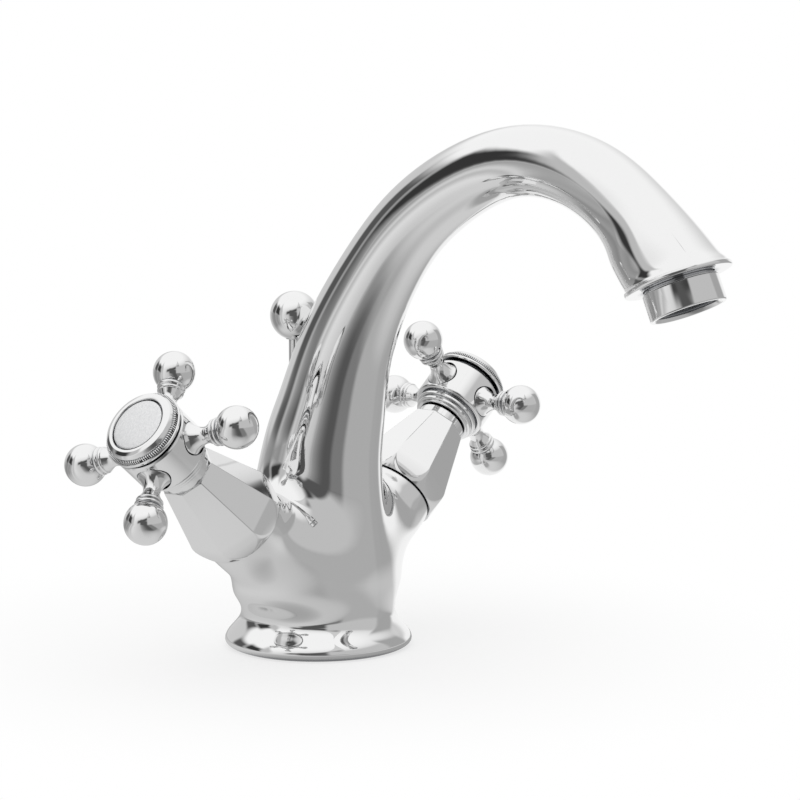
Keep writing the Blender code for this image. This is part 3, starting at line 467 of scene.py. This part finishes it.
shroud = {
    # height over the arm's end face, distance across the flats / 2, corner radius
    "outer": [(0.3, 15.2, 15.2), (0.75, 15.26, 13.0), (1.6, 15.34, 9.5), (2.8, 15.42, 6.0), (4.2, 15.5, 3.4),
              (5.8, 15.56, 1.6), (7.2, 15.5, 0.9), (8.2, 15.34, 0.7), (8.8, 15.16, 0.6), (9.6, 14.93, 0.6),
              (32.0, 9.15, 0.6), (32.25, 9.0, 1.5)],
    "neck": [(32.5, 8.75), (32.6, 8.75), (35.1, 8.75), (35.25, 8.6)],  # height, radius
    "wall": 1.3, "leastCorner": 0.1,  # the inner corners aren't sharper than this radius
    "sides": 8, "cornerParts": 6,
}


def octagonPoints(apothem, corner, height):
    points = []
    sides, parts = shroud["sides"], shroud["cornerParts"]
    reach = (apothem - min(corner, apothem)) / math.cos(math.pi / sides)
    for side in range(sides):
        middle = math.tau * (side + 0.5) / sides
        for k in range(parts + 1):
            angle = middle + math.tau / sides * (k / parts - 0.5)
            points.append(Vector((reach * math.cos(middle) + corner * math.cos(angle),
                                  reach * math.sin(middle) + corner * math.sin(angle), height)) * mm)
    return points


def shroudMesh(name):
    shape = bmesh.new()
    sections = [octagonPoints(apothem, corner, height) for height, apothem, corner in shroud["outer"]]
    sections += [octagonPoints(radius, radius, height) for height, radius in shroud["neck"]]
    wall = shroud["wall"]
    sections += [octagonPoints(radius - wall, radius - wall, height) for height, radius in reversed(shroud["neck"])]
    least = shroud["leastCorner"]
    sections += [octagonPoints(a - wall, max(least, c - wall), h) for h, a, c in reversed(shroud["outer"])]
    rings = [[shape.verts.new(p) for p in points] for points in sections]
    count = len(rings[0])
    for near, far in zip(rings, rings[1:] + rings[:1]):
        for k in range(count):
            n = (k + 1) % count
            shape.faces.new((near[k], near[n], far[n], far[k]))
    return finishMesh(shape, name, sharp=30)


def weighNormals(piece):
    # keeps the broad faces flat to the eye beside their rounded edges
    weighted = piece.modifiers.new("weighted", "WEIGHTED_NORMAL")
    weighted.keep_sharp = True
    weighted.weight = 80
    return settle(piece)


for label, place in valves.items():
    mesh = shroudMesh(label + "Shroud")
    mesh.transform(place @ Matrix.Translation((0, 0, -handlePlane * mm)))
    piece = weighNormals(newPiece(label + "Shroud", mesh, platedChrome))
    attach(piece, "body")
    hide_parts(label + "_shroud")
print("shrouds made")


# Handles: a hub, four ball-ended arms, a knurled index ring and its cap. The joint is at height 0.

hub = {
    # radius, height from the plane of the balls, fillet
    "outer": [(10.6, 8.3, 0), (10.6, 7.0, 0.2), (12.5, 7.0, 0.3), (12.9, 6.4, 0.5), (12.9, -6.3, 1.1),
              (10.8, -6.3, 0.2), (10.8, -7.0, 0.15), (11.4, -7.1, 0.3), (11.4, -8.2, 0.3), (10.4, -8.3, 0.15),
              (10.4, -8.7, 0.15), (10.6, -8.8, 0.15), (10.6, -9.8, 0.3), (9.7, -9.9, 0.15), (9.7, -10.7, 0.3)],
    "inner": [(4.3, -10.7, 0.2), (4.3, 1.9, 0), (2.3, 1.9, 0), (2.3, 4.5, 0), (3.9, 4.5, 0), (3.9, 8.3, 0)],
    # distance from the axis where the cutter starts, seat radius, its distance, stud hole radius, its bottom
    "spotFace": (16, 5.45, 11.5, 2.5, 8.5),
    "sharp": 35,
}
ballArm = {
    "ball": (28.7, 6.85, 4.0),  # distance, radius, radius of its neck
    "beads": [(22.45, 0.7, 3.87), (20.98, 0.62, 3.7)], "beadArc": 65,  # distance, size, radius of its middle; degrees
    "waist": [(3.85, 20.35), (3.35, 19.4), (2.85, 18.4), (2.7, 17.4), (2.85, 16.2), (3.35, 14.9), (4.1, 13.6),
              (4.65, 12.9)],  # radius, distance
    "foot": [(4.65, 12.9, 0), (5.15, 12.4, 0.2), (5.15, 11.8, 0.1), (2.2, 11.8, 0), (2.2, 8.8, 0), (0, 8.8, 0)],
    "count": 4,
}
indexRing = {
    # radius, height, fillet
    "profile": [(9.25, 12.6, 0), (9.45, 12.95, 0.15), (10.3, 13.05, 0.8), (11.6, 12.55, 0.7), (12.2, 11.4, 0.5),
                (12.2, 11.0, 0.1), (12.15, 10.9, 0.1), (12.15, 9.6, 0.1), (12.9, 9.5, 0.15), (13.3, 9.2, 0.3),
                (13.3, 8.6, 0.3), (12.9, 8.3, 0.2), (10.9, 8.0, 0), (10.9, 8.6, 0), (7.6, 8.6, 0), (7.6, 11.0, 0),
                (9.25, 11.0, 0)],
    "teeth": 112, "tooth": (12.15, 0.22, 0.75, 9.55, 10.95),  # radius, half width, height, bottom, top
    "toothTip": (0.7, 0.15), "toothRoot": 0.2,  # share of the width and bevel at its tip; its depth in the ring
    "steps": 120,
}
indexCap = {
    "dome": [(0, 13.15), (3.0, 13.11), (6.0, 12.98), (8.3, 12.8)],  # radius, height
    "rim": [(8.3, 12.8, 0), (8.85, 12.7, 0.2), (8.85, 11.3, 0)],  # radius, height, fillet
}


def aroundAxisTree():
    # copies of one shape turned about Z
    inputs = {"Shape": "Geometry", "Count": "Int", "Finish": "Material"}
    tree, given = startTree("aroundAxis", "GeometryNodeTree", inputs, "Copies")
    points = addNode(tree, "GeometryNodePoints", {"Count": given["Count"]})
    index = addNode(tree, "GeometryNodeInputIndex")
    step = addNode(tree, "ShaderNodeMath", {0: math.tau, 1: given["Count"]}, operation="DIVIDE")
    angle = addNode(tree, "ShaderNodeMath", {0: index.outputs[0], 1: step.outputs[0]}, operation="MULTIPLY")
    turn = addNode(tree, "ShaderNodeCombineXYZ", {"Z": angle.outputs[0]})
    copies = addNode(tree, "GeometryNodeInstanceOnPoints", {"Points": points.outputs[0], "Instance": given["Shape"],
                                                            "Rotation": turn.outputs[0]})
    real = addNode(tree, "GeometryNodeRealizeInstances", {0: copies.outputs[0]})
    painted = addNode(tree, "GeometryNodeSetMaterial", {"Geometry": real.outputs[0], "Material": given["Finish"]})
    addNode(tree, "NodeGroupOutput", {0: painted.outputs[0]})
    return tree


def runTree(piece, tree, **inputs):
    # named inputs go in by their identifiers, and the result is kept as a plain mesh
    modifier = piece.modifiers.new(tree.name, "NODES")
    modifier.node_group = tree
    for item in tree.interface.items_tree:
        if item.item_type == "SOCKET" and item.in_out == "INPUT" and item.name in inputs:
            modifier[item.identifier] = inputs[item.name]
    return settle(piece)


def armMesh(name):
    profile = ballProfile(*ballArm["ball"], parts=20)
    arc = ballArm["beadArc"]
    for middle, size, radius in ballArm["beads"]:
        profile += arcProfile(radius, middle, size, arc, -arc, parts=8)
    profile += splineProfile(ballArm["waist"])
    profile += rounded(ballArm["foot"])[1:]
    return turnedMesh(name, profile, slimSteps, place=Matrix.Rotation(math.pi / 2, 4, "Y"), sharp=50)


def toothMesh(name):
    radius, half, tall, bottom, top = indexRing["tooth"]
    share, bevel = indexRing["toothTip"]
    root, tip, narrow = radius - indexRing["toothRoot"], radius + tall, half * share
    shape = bmesh.new()
    ends = []
    for height, tipHeight in ((bottom, bottom + bevel), (top, top - bevel)):
        outline = [(root, -half, height), (radius, -half, height), (tip, -narrow, tipHeight), (tip, narrow, tipHeight),
                   (radius, half, height), (root, half, height)]
        ends.append([shape.verts.new(Vector(p) * mm) for p in outline])
    lower, upper = ends
    for k in range(len(lower)):
        n = (k + 1) % len(lower)
        shape.faces.new((lower[k], lower[n], upper[n], upper[k]))
    shape.faces.new(lower)
    shape.faces.new(upper)
    return finishMesh(shape, name, sharp=20)


def joinMeshes(piece, other, sharp=35):
    shape = bmesh.new()
    shape.from_mesh(piece.data)
    shape.from_mesh(other.data)
    material = piece.data.materials[0]
    piece.data = finishMesh(shape, piece.name, sharp, outwards=False)  # both already face outwards
    piece.data.materials.append(material)
    bpy.data.objects.remove(other)


aroundAxis = aroundAxisTree()
for label, place in valves.items():
    place = place @ Matrix.Rotation(math.radians(handleTurns[label]), 4, "Z")
    handle = label + "_handle"

    mesh = turnedMesh(label + "HandleHub", rounded(hub["outer"] + hub["inner"], closed=True), closed=True)
    piece = newPiece(label + "HandleHub", mesh, platedChrome)
    start, seat, floor, hole, end = hub["spotFace"]
    profile = [(0, start), (seat, start), (seat, floor), (hole, floor), (hole, end), (0, end)]
    mesh = turnedMesh("cutter", profile, slimSteps, place=Matrix.Rotation(math.pi / 2, 4, "Y"))
    cutter = newPiece("cutter", mesh, platedChrome)
    runTree(cutter, aroundAxis, Count=ballArm["count"], Finish=platedChrome)
    cutAway(piece, cutter, hub["sharp"])
    weighNormals(piece)
    piece.data.transform(place)
    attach(piece, handle)
    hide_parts(label + "_handle_hub")

    piece = newPiece(label + "BallArms", armMesh(label + "BallArms"), platedChrome)
    runTree(piece, aroundAxis, Count=ballArm["count"], Finish=platedChrome)
    piece.data.transform(place)
    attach(piece, handle)
    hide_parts(*[label + "_handle_arm_" + str(i) for i in range(1, 5)])

    mesh = turnedMesh("ring", rounded(indexRing["profile"], closed=True), indexRing["steps"], closed=True)
    piece = newPiece(label + "IndexRing", mesh, platedChrome)
    teeth = newPiece("teeth", toothMesh("teeth"), platedChrome)
    runTree(teeth, aroundAxis, Count=indexRing["teeth"], Finish=platedChrome)
    joinMeshes(piece, teeth)
    piece.data.transform(place)
    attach(piece, handle)
    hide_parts(label + "_index_ring")

    profile = splineProfile(indexCap["dome"]) + rounded(indexCap["rim"])[1:]
    profile.append((0, profile[-1][1]))
    piece = newPiece(label + "IndexCap", turnedMesh("cap", profile, place=place), pearlEnamel)
    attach(piece, handle)
    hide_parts(label + "_index_disc")
print("handles made")


# Aerator, along the outlet's axis from the lip.

aerator = {
    # radius, height, fillet
    "housing": [(11.75, 9.4, 0.15), (12.0, 9.1, 0.25), (12.0, 1.3, 0.2), (11.6, 1.1, 0.1), (11.6, 0.75, 0.1),
                (10.9, 0.75, 0), (10.9, -6.5, 0), (9.9, -6.5, 0), (9.9, 8.4, 0.2), (10.6, 9.4, 0.25)],
    "cup": [(9.6, 8.0, 0.2), (9.6, -6.2, 0), (8.6, -6.2, 0), (8.6, 5.5, 0), (8.6, 8.0, 0.2)],
    "cell": (1.55, 0.17, 6.4, 7.7),  # spacing, half wall, bottom, top
    "field": (8.5, 13),  # radius that the cells fill, and rows enough for it
}
reach, height = body["outlet"]
outletPlace = Matrix.Translation((0, -reach * mm, height * mm)) @ Matrix.Rotation(
    math.pi - math.radians(body["outletTilt"]), 4, "X")


def honeycombTree():
    # hexagon cells in rows, each second row shifted by half a cell, kept inside a circle
    inputs = {"Cell": "Geometry", "Spacing": "Float", "Radius": "Float", "Rows": "Int", "Finish": "Material"}
    tree, given = startTree("honeycomb", "GeometryNodeTree", inputs, "Cells")
    total = addNode(tree, "ShaderNodeMath", {0: given["Rows"], 1: given["Rows"]}, operation="MULTIPLY")
    points = addNode(tree, "GeometryNodePoints", {"Count": total.outputs[0]})
    index = addNode(tree, "GeometryNodeInputIndex")
    column = addNode(tree, "ShaderNodeMath", {0: index.outputs[0], 1: given["Rows"]}, operation="MODULO")
    share = addNode(tree, "ShaderNodeMath", {0: index.outputs[0], 1: given["Rows"]}, operation="DIVIDE")
    row = addNode(tree, "ShaderNodeMath", {0: share.outputs[0]}, operation="FLOOR")
    half = addNode(tree, "ShaderNodeMath", {0: given["Rows"], 1: 1.0}, operation="SUBTRACT")
    middle = addNode(tree, "ShaderNodeMath", {0: half.outputs[0], 1: 0.5}, operation="MULTIPLY")
    odd = addNode(tree, "ShaderNodeMath", {0: row.outputs[0], 1: 2.0}, operation="MODULO")
    shift = addNode(tree, "ShaderNodeMath", {0: odd.outputs[0], 1: 0.5, 2: column.outputs[0]}, operation="MULTIPLY_ADD")
    x = addNode(tree, "ShaderNodeMath", {0: shift.outputs[0], 1: middle.outputs[0]}, operation="SUBTRACT")
    y = addNode(tree, "ShaderNodeMath", {0: row.outputs[0], 1: middle.outputs[0]}, operation="SUBTRACT")
    rise = addNode(tree, "ShaderNodeMath", {0: y.outputs[0], 1: math.sqrt(3) / 2}, operation="MULTIPLY")
    flat = addNode(tree, "ShaderNodeCombineXYZ", {"X": x.outputs[0], "Y": rise.outputs[0]})
    place = addNode(tree, "ShaderNodeVectorMath", {0: flat.outputs[0], "Scale": given["Spacing"]}, operation="SCALE")
    moved = addNode(tree, "GeometryNodeSetPosition", {"Geometry": points.outputs[0], "Position": place.outputs[0]})
    here = addNode(tree, "GeometryNodeInputPosition")
    away = addNode(tree, "ShaderNodeVectorMath", {0: here.outputs[0]}, operation="LENGTH")
    inside = addNode(tree, "FunctionNodeCompare", {0: away.outputs["Value"], 1: given["Radius"]}, operation="LESS_THAN")
    copies = addNode(tree, "GeometryNodeInstanceOnPoints", {"Points": moved.outputs[0], "Instance": given["Cell"],
                                                            "Selection": inside.outputs[0]})
    real = addNode(tree, "GeometryNodeRealizeInstances", {0: copies.outputs[0]})
    painted = addNode(tree, "GeometryNodeSetMaterial", {"Geometry": real.outputs[0], "Material": given["Finish"]})
    addNode(tree, "NodeGroupOutput", {0: painted.outputs[0]})
    return tree


mesh = turnedMesh("aeratorHousing", rounded(aerator["housing"], closed=True), closed=True, place=outletPlace)
piece = newPiece("aeratorHousing", mesh, platedChrome)
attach(piece, "body")
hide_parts("aerator_housing")

spacing, wall, bottom, top = aerator["cell"]
radius, rows = aerator["field"]
outer = spacing / math.sqrt(3) + wall
profile = [(outer, bottom), (outer, top), (outer - 2 * wall, top), (outer - 2 * wall, bottom)]
cell = turnedMesh("cell", profile, steps=6, closed=True, place=Matrix.Rotation(math.pi / 6, 4, "Z"), sharp=20)
piece = newPiece("aeratorInsert", cell, mouldedAcetal)
runTree(piece, honeycombTree(), Spacing=spacing * mm, Radius=radius * mm, Rows=rows, Finish=mouldedAcetal)
mesh = turnedMesh("cup", rounded(aerator["cup"], closed=True), closed=True)
cup = newPiece("cup", mesh, mouldedAcetal)
joinMeshes(piece, cup)
piece.data.transform(outletPlace)
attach(piece, "body")
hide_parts("aerator_insert")
print("aerator made")


# Lift rod and its knob.

liftRod = {
    "rod": [(0, 107.5, 0), (2.0, 107.5, 0.2), (2.0, 6.0, 0.3), (0, 6.0, 0)],  # radius, height, fillet
    "knob": (110.0, 8.2, 3.0),  # height, radius, radius of its neck
    "socket": [(3.0, 102.1, 0.3), (2.3, 102.1, 0.1), (2.3, 108.3, 0), (0, 108.3, 0)],
}
place = Matrix.Translation((0, rodSetback * mm, 0))
mesh = turnedMesh("liftRod", rounded(liftRod["rod"]), slimSteps, place=place)
piece = newPiece("liftRod", mesh, platedChrome)
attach(piece, "lift")
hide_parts("lift_rod")
profile = ballProfile(*liftRod["knob"], parts=32)
profile += rounded([profile[-1] + (0,)] + liftRod["socket"])[1:]
piece = newPiece("liftKnob", turnedMesh("liftKnob", profile, place=place), platedChrome)
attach(piece, "lift")
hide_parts("lift_knob")
print("lift rod made")


# Floor, light tent and camera. Directions are degrees round from the spout's side (-Y) towards the cold valve, and
# degrees above the floor. A level is a brightness, 1 for white.
tent = {
    "roof": 1.05,  # lit cloth overhead and behind
    "front": (12, -3, 105, 42, 0.6, 0.43),  # dim room in front: round, up, half width, half height, edge, level
    "cards": [  # round, up, half width, half height, lean, edge, level
        (-41, 23, 30.5, 14, 1.03, 0.5, 0.7), (-52, 25.3, 36.5, 6.8, 0.34, 6, 0.06),
        (-43.7, 8.1, 30, 14, -0.2, 5.2, 0.1), (6, 20, 42.6, 18.5, 0, 4.2, 0.59),
        (66.5, 16.5, 16, 20, -0.6, 4, 0.42), (-167, 14.2, 14.7, 13.6, -0.13, 6, 0.1),
        (-137, 15.4, 14.6, 13.8, -0.26, 6, 0.04), (-118, 16.3, 8.5, 17.7, -1.48, 6, 0.57),
        (-166.7, -0.8, 35, 3, 0.02, 6, 0.22), (157.5, 12.6, 24, 15, 0.2, 6, 0.66),
    ],
    "backdrop": (112, 0, 26, 14, 0, 6),  # white paper behind: round, up, half width, half height, lean, edge
}
board = {
    "size": 6.0,  # half its side, in metres
    "near": 0.47, "start": 80, "end": 220,  # painted light level round the foot, and from where to where it turns into the walls'
    "patches": [  # painted light and shade that the object mirrors: x, y, half width, half depth in mm, edge, level
        (-252, 54, 241, 215, 0.2, 0.71), (-138, -164, 84, 58.5, 0.3, 0.22), (108.5, -59.6, 129, 91, 0.3, 0.7),
        (13, -13, 49, 30.5, 0.22, 0.4),
    ],
    "shadow": (40, 180, 0.7),  # from where and to where the shadow fades out, and how much of it is faded at the foot
}


def ellipseTree():
    # 1 inside an ellipse, 0 outside it, with a soft edge
    inputs = {"Place": "Vector", "Middle": "Vector", "Size": "Vector", "Edge": "Float"}
    tree, given = startTree("ellipse", "ShaderNodeTree", inputs, "Share")
    apart = addNode(tree, "ShaderNodeVectorMath", {0: given["Place"], 1: given["Middle"]}, operation="SUBTRACT")
    scaled = addNode(tree, "ShaderNodeVectorMath", {0: apart.outputs[0], 1: given["Size"]}, operation="DIVIDE")
    away = addNode(tree, "ShaderNodeVectorMath", {0: scaled.outputs[0]}, operation="LENGTH")
    outer = addNode(tree, "ShaderNodeMath", {0: 1.0, 1: given["Edge"]}, operation="ADD")
    inner = addNode(tree, "ShaderNodeMath", {0: 1.0, 1: given["Edge"]}, operation="SUBTRACT")
    share = addNode(tree, "ShaderNodeMapRange", {"Value": away.outputs["Value"], "From Min": outer.outputs[0],
                                                 "From Max": inner.outputs[0]}, interpolation_type="SMOOTHSTEP")
    addNode(tree, "NodeGroupOutput", {0: share.outputs["Result"]})
    return tree


def cardTree():
    # 1 on a leaning card, 0 beside it, with a soft edge
    inputs = {"Place": "Vector", "Middle": "Vector", "Size": "Vector", "Lean": "Float", "Edge": "Float"}
    tree, given = startTree("card", "ShaderNodeTree", inputs, "Share")
    apart = addNode(tree, "ShaderNodeVectorMath", {0: given["Place"], 1: given["Middle"]}, operation="SUBTRACT")
    wrapped = addNode(tree, "ShaderNodeVectorMath", {0: apart.outputs[0], 1: (180, 180, 180), 2: (-180, -180, -180)},
                      operation="WRAP")
    across, above, _ = addNode(tree, "ShaderNodeSeparateXYZ", {0: wrapped.outputs[0]}).outputs
    slope = addNode(tree, "ShaderNodeMath", {0: across, 1: given["Lean"]}, operation="MULTIPLY")
    above = addNode(tree, "ShaderNodeMath", {0: above, 1: slope.outputs[0]}, operation="SUBTRACT").outputs[0]
    width, height, _ = addNode(tree, "ShaderNodeSeparateXYZ", {0: given["Size"]}).outputs
    share = 1.0
    for part, size in ((across, width), (above, height)):
        off = addNode(tree, "ShaderNodeMath", {0: part}, operation="ABSOLUTE")
        outer = addNode(tree, "ShaderNodeMath", {0: size, 1: given["Edge"]}, operation="ADD")
        inner = addNode(tree, "ShaderNodeMath", {0: size, 1: given["Edge"]}, operation="SUBTRACT")
        share = addNode(tree, "ShaderNodeMapRange", {"Value": off.outputs[0], "From Min": outer.outputs[0],
                                                     "From Max": inner.outputs[0], "To Max": share},
                        interpolation_type="SMOOTHSTEP").outputs["Result"]
    addNode(tree, "NodeGroupOutput", {0: share})
    return tree


def tentTree(ellipse, card):
    # the tent's brightness in a direction, which the world shows and the board mirrors
    tree, given = startTree("tentLight", "ShaderNodeTree", {"Place": "Vector"}, "Level")
    x, y, width, height, edge, level = tent["front"]
    share = addNode(tree, "ShaderNodeGroup", {"Place": given["Place"], "Middle": (x, y, 0), "Size": (width, height, 1),
                                              "Edge": edge}, node_tree=ellipse)
    light = addNode(tree, "ShaderNodeMix", {"Factor": share.outputs[0], "A": tent["roof"], "B": level})
    for x, y, width, height, lean, edge, level in tent["cards"]:
        share = addNode(tree, "ShaderNodeGroup", {"Place": given["Place"], "Middle": (x, y, 0), "Lean": lean,
                                                  "Size": (width, height, 1), "Edge": edge}, node_tree=card)
        light = addNode(tree, "ShaderNodeMix", {"Factor": share.outputs[0], "A": light.outputs["Result"], "B": level})
    addNode(tree, "NodeGroupOutput", {0: light.outputs["Result"]})
    return tree


def turnedPlace(tree, direction, rise):
    # a direction as degrees round and degrees up
    x, y, z = addNode(tree, "ShaderNodeSeparateXYZ", {0: direction}).outputs
    ahead = addNode(tree, "ShaderNodeMath", {0: y, 1: -1.0}, operation="MULTIPLY")
    turn = addNode(tree, "ShaderNodeMath", {0: x, 1: ahead.outputs[0]}, operation="ARCTAN2")
    up = addNode(tree, "ShaderNodeMath", {0: z, 1: rise}, operation="MULTIPLY")
    lift = addNode(tree, "ShaderNodeMath", {0: up.outputs[0]}, operation="ARCSINE")
    both = addNode(tree, "ShaderNodeCombineXYZ", {"X": turn.outputs[0], "Y": lift.outputs[0]})
    return addNode(tree, "ShaderNodeVectorMath", {0: both.outputs[0], "Scale": math.degrees(1)},
                   operation="SCALE").outputs[0]


def whiteRays(tree, card, place):
    # camera rays meet plain white everywhere, and the object's metal mirrors it where the backdrop stands
    x, y, width, height, lean, edge = tent["backdrop"]
    backdrop = addNode(tree, "ShaderNodeGroup", {"Place": place, "Middle": (x, y, 0), "Size": (width, height, 1),
                                                 "Lean": lean, "Edge": edge}, node_tree=card)
    path = addNode(tree, "ShaderNodeLightPath").outputs
    mirrored = addNode(tree, "ShaderNodeMath", {0: path["Is Glossy Ray"], 1: path["Is Transmission Ray"]},
                       operation="ADD")
    return addNode(tree, "ShaderNodeMath", {0: mirrored.outputs[0], 1: backdrop.outputs[0], 2: path["Is Camera Ray"]},
                   operation="MULTIPLY_ADD", use_clamp=True).outputs[0]


def studioWorld(tentLight, card):
    world = bpy.data.worlds.new("lightTent")
    bpy.context.scene.world = world
    world.use_nodes = True
    tree = world.node_tree
    tree.nodes.clear()
    place = turnedPlace(tree, addNode(tree, "ShaderNodeTexCoord").outputs["Generated"], 1.0)
    light = addNode(tree, "ShaderNodeGroup", {"Place": place}, node_tree=tentLight)
    cloth = addNode(tree, "ShaderNodeBackground", {"Color": (1, 1, 1, 1), "Strength": light.outputs[0]})
    white = addNode(tree, "ShaderNodeBackground", {"Color": (1, 1, 1, 1), "Strength": 1.0})
    mixed = addNode(tree, "ShaderNodeMixShader", {0: whiteRays(tree, card, place), 1: cloth.outputs[0],
                                                  2: white.outputs[0]})
    addNode(tree, "ShaderNodeOutputWorld", {0: mixed.outputs[0]})


def studioFloor(tentLight, ellipse, card):
    floor = bpy.data.objects.new("studioFloor", bpy.data.meshes.new("studioFloor"))
    size = board["size"]
    floor.data.from_pydata([(-size, -size, 0), (size, -size, 0), (size, size, 0), (-size, size, 0)], [], [(0, 1, 2, 3)])
    bpy.context.scene.collection.objects.link(floor)
    # Painted white board: matt white where it is seen, and to the object a painted glow in the soft greys of the tent
    # that would light it, with patches of painted light and shade near the foot.
    material = bpy.data.materials.new("paintedWhiteBoard")
    material.use_nodes = True
    tree = material.node_tree
    tree.nodes.clear()
    here = addNode(tree, "ShaderNodeTexCoord").outputs["Object"]
    place = turnedPlace(tree, here, 0.0)
    inMm = addNode(tree, "ShaderNodeVectorMath", {0: here, "Scale": 1 / mm}, operation="SCALE").outputs[0]
    away = addNode(tree, "ShaderNodeVectorMath", {0: inMm}, operation="LENGTH").outputs["Value"]
    near = board["near"]
    for x, y, width, depth, edge, level in board["patches"]:
        share = addNode(tree, "ShaderNodeGroup", {"Place": inMm, "Middle": (x, y, 0), "Size": (width, depth, 1),
                                                  "Edge": edge}, node_tree=ellipse)
        near = addNode(tree, "ShaderNodeMix", {"Factor": share.outputs[0], "A": near, "B": level}).outputs["Result"]
    walls = addNode(tree, "ShaderNodeGroup", {"Place": place}, node_tree=tentLight)
    far = addNode(tree, "ShaderNodeMapRange", {"Value": away, "From Min": board["start"], "From Max": board["end"]},
                  interpolation_type="SMOOTHSTEP")
    light = addNode(tree, "ShaderNodeMix", {"Factor": far.outputs["Result"], "A": near, "B": walls.outputs[0]})
    # painted glow: to the object's reflections the board gives off this light itself, with patches of painted light and
    # shade
    paintedGlow = addNode(tree, "ShaderNodeEmission", {"Strength": light.outputs["Result"]})
    start, end, faded = board["shadow"]
    fade = addNode(tree, "ShaderNodeMapRange", {"Value": away, "From Min": start, "From Max": end, "To Min": faded},
                   interpolation_type="SMOOTHSTEP")
    painted = addNode(tree, "ShaderNodeBsdfDiffuse", {"Color": (1, 1, 1, 1)})
    white = addNode(tree, "ShaderNodeEmission", {"Strength": 1.0})
    seen = addNode(tree, "ShaderNodeMixShader", {0: fade.outputs["Result"], 1: painted.outputs[0], 2: white.outputs[0]})
    mixed = addNode(tree, "ShaderNodeMixShader", {0: whiteRays(tree, card, place), 1: paintedGlow.outputs[0],
                                                  2: seen.outputs[0]})
    addNode(tree, "ShaderNodeOutputMaterial", {0: mixed.outputs[0]})
    floor.data.materials.append(material)


camera = {
    "place": (-701.01, -615.13, 202.37),
    "azimuth": -50.42, "elevation": 7.34, "roll": -0.06,  # degrees
    "lens": 127.4, "sensor": 36.0, "near": 50,
}


def studioCamera():
    lens = bpy.data.cameras.new("camera")
    lens.lens = camera["lens"]
    lens.sensor_width = camera["sensor"]
    lens.clip_start = camera["near"] * mm
    viewer = bpy.data.objects.new("camera", lens)
    bpy.context.scene.collection.objects.link(viewer)
    azimuth, elevation, roll = (math.radians(camera[k]) for k in ("azimuth", "elevation", "roll"))
    level = math.cos(elevation)
    back = Vector((math.sin(azimuth) * level, -math.cos(azimuth) * level, math.sin(elevation)))
    right = Vector((math.cos(azimuth), math.sin(azimuth), 0))
    up = back.cross(right)
    turn = Matrix((right, up, back)).transposed() @ Matrix.Rotation(roll, 3, "Z")
    viewer.matrix_world = Matrix.Translation(Vector(camera["place"]) * mm) @ turn.to_4x4()
    bpy.context.scene.camera = viewer


ellipse, card = ellipseTree(), cardTree()
tentLight = tentTree(ellipse, card)
studioFloor(tentLight, ellipse, card)
studioWorld(tentLight, card)
studioCamera()
bpy.context.scene.view_settings.view_transform = "Standard"
print("studio made")
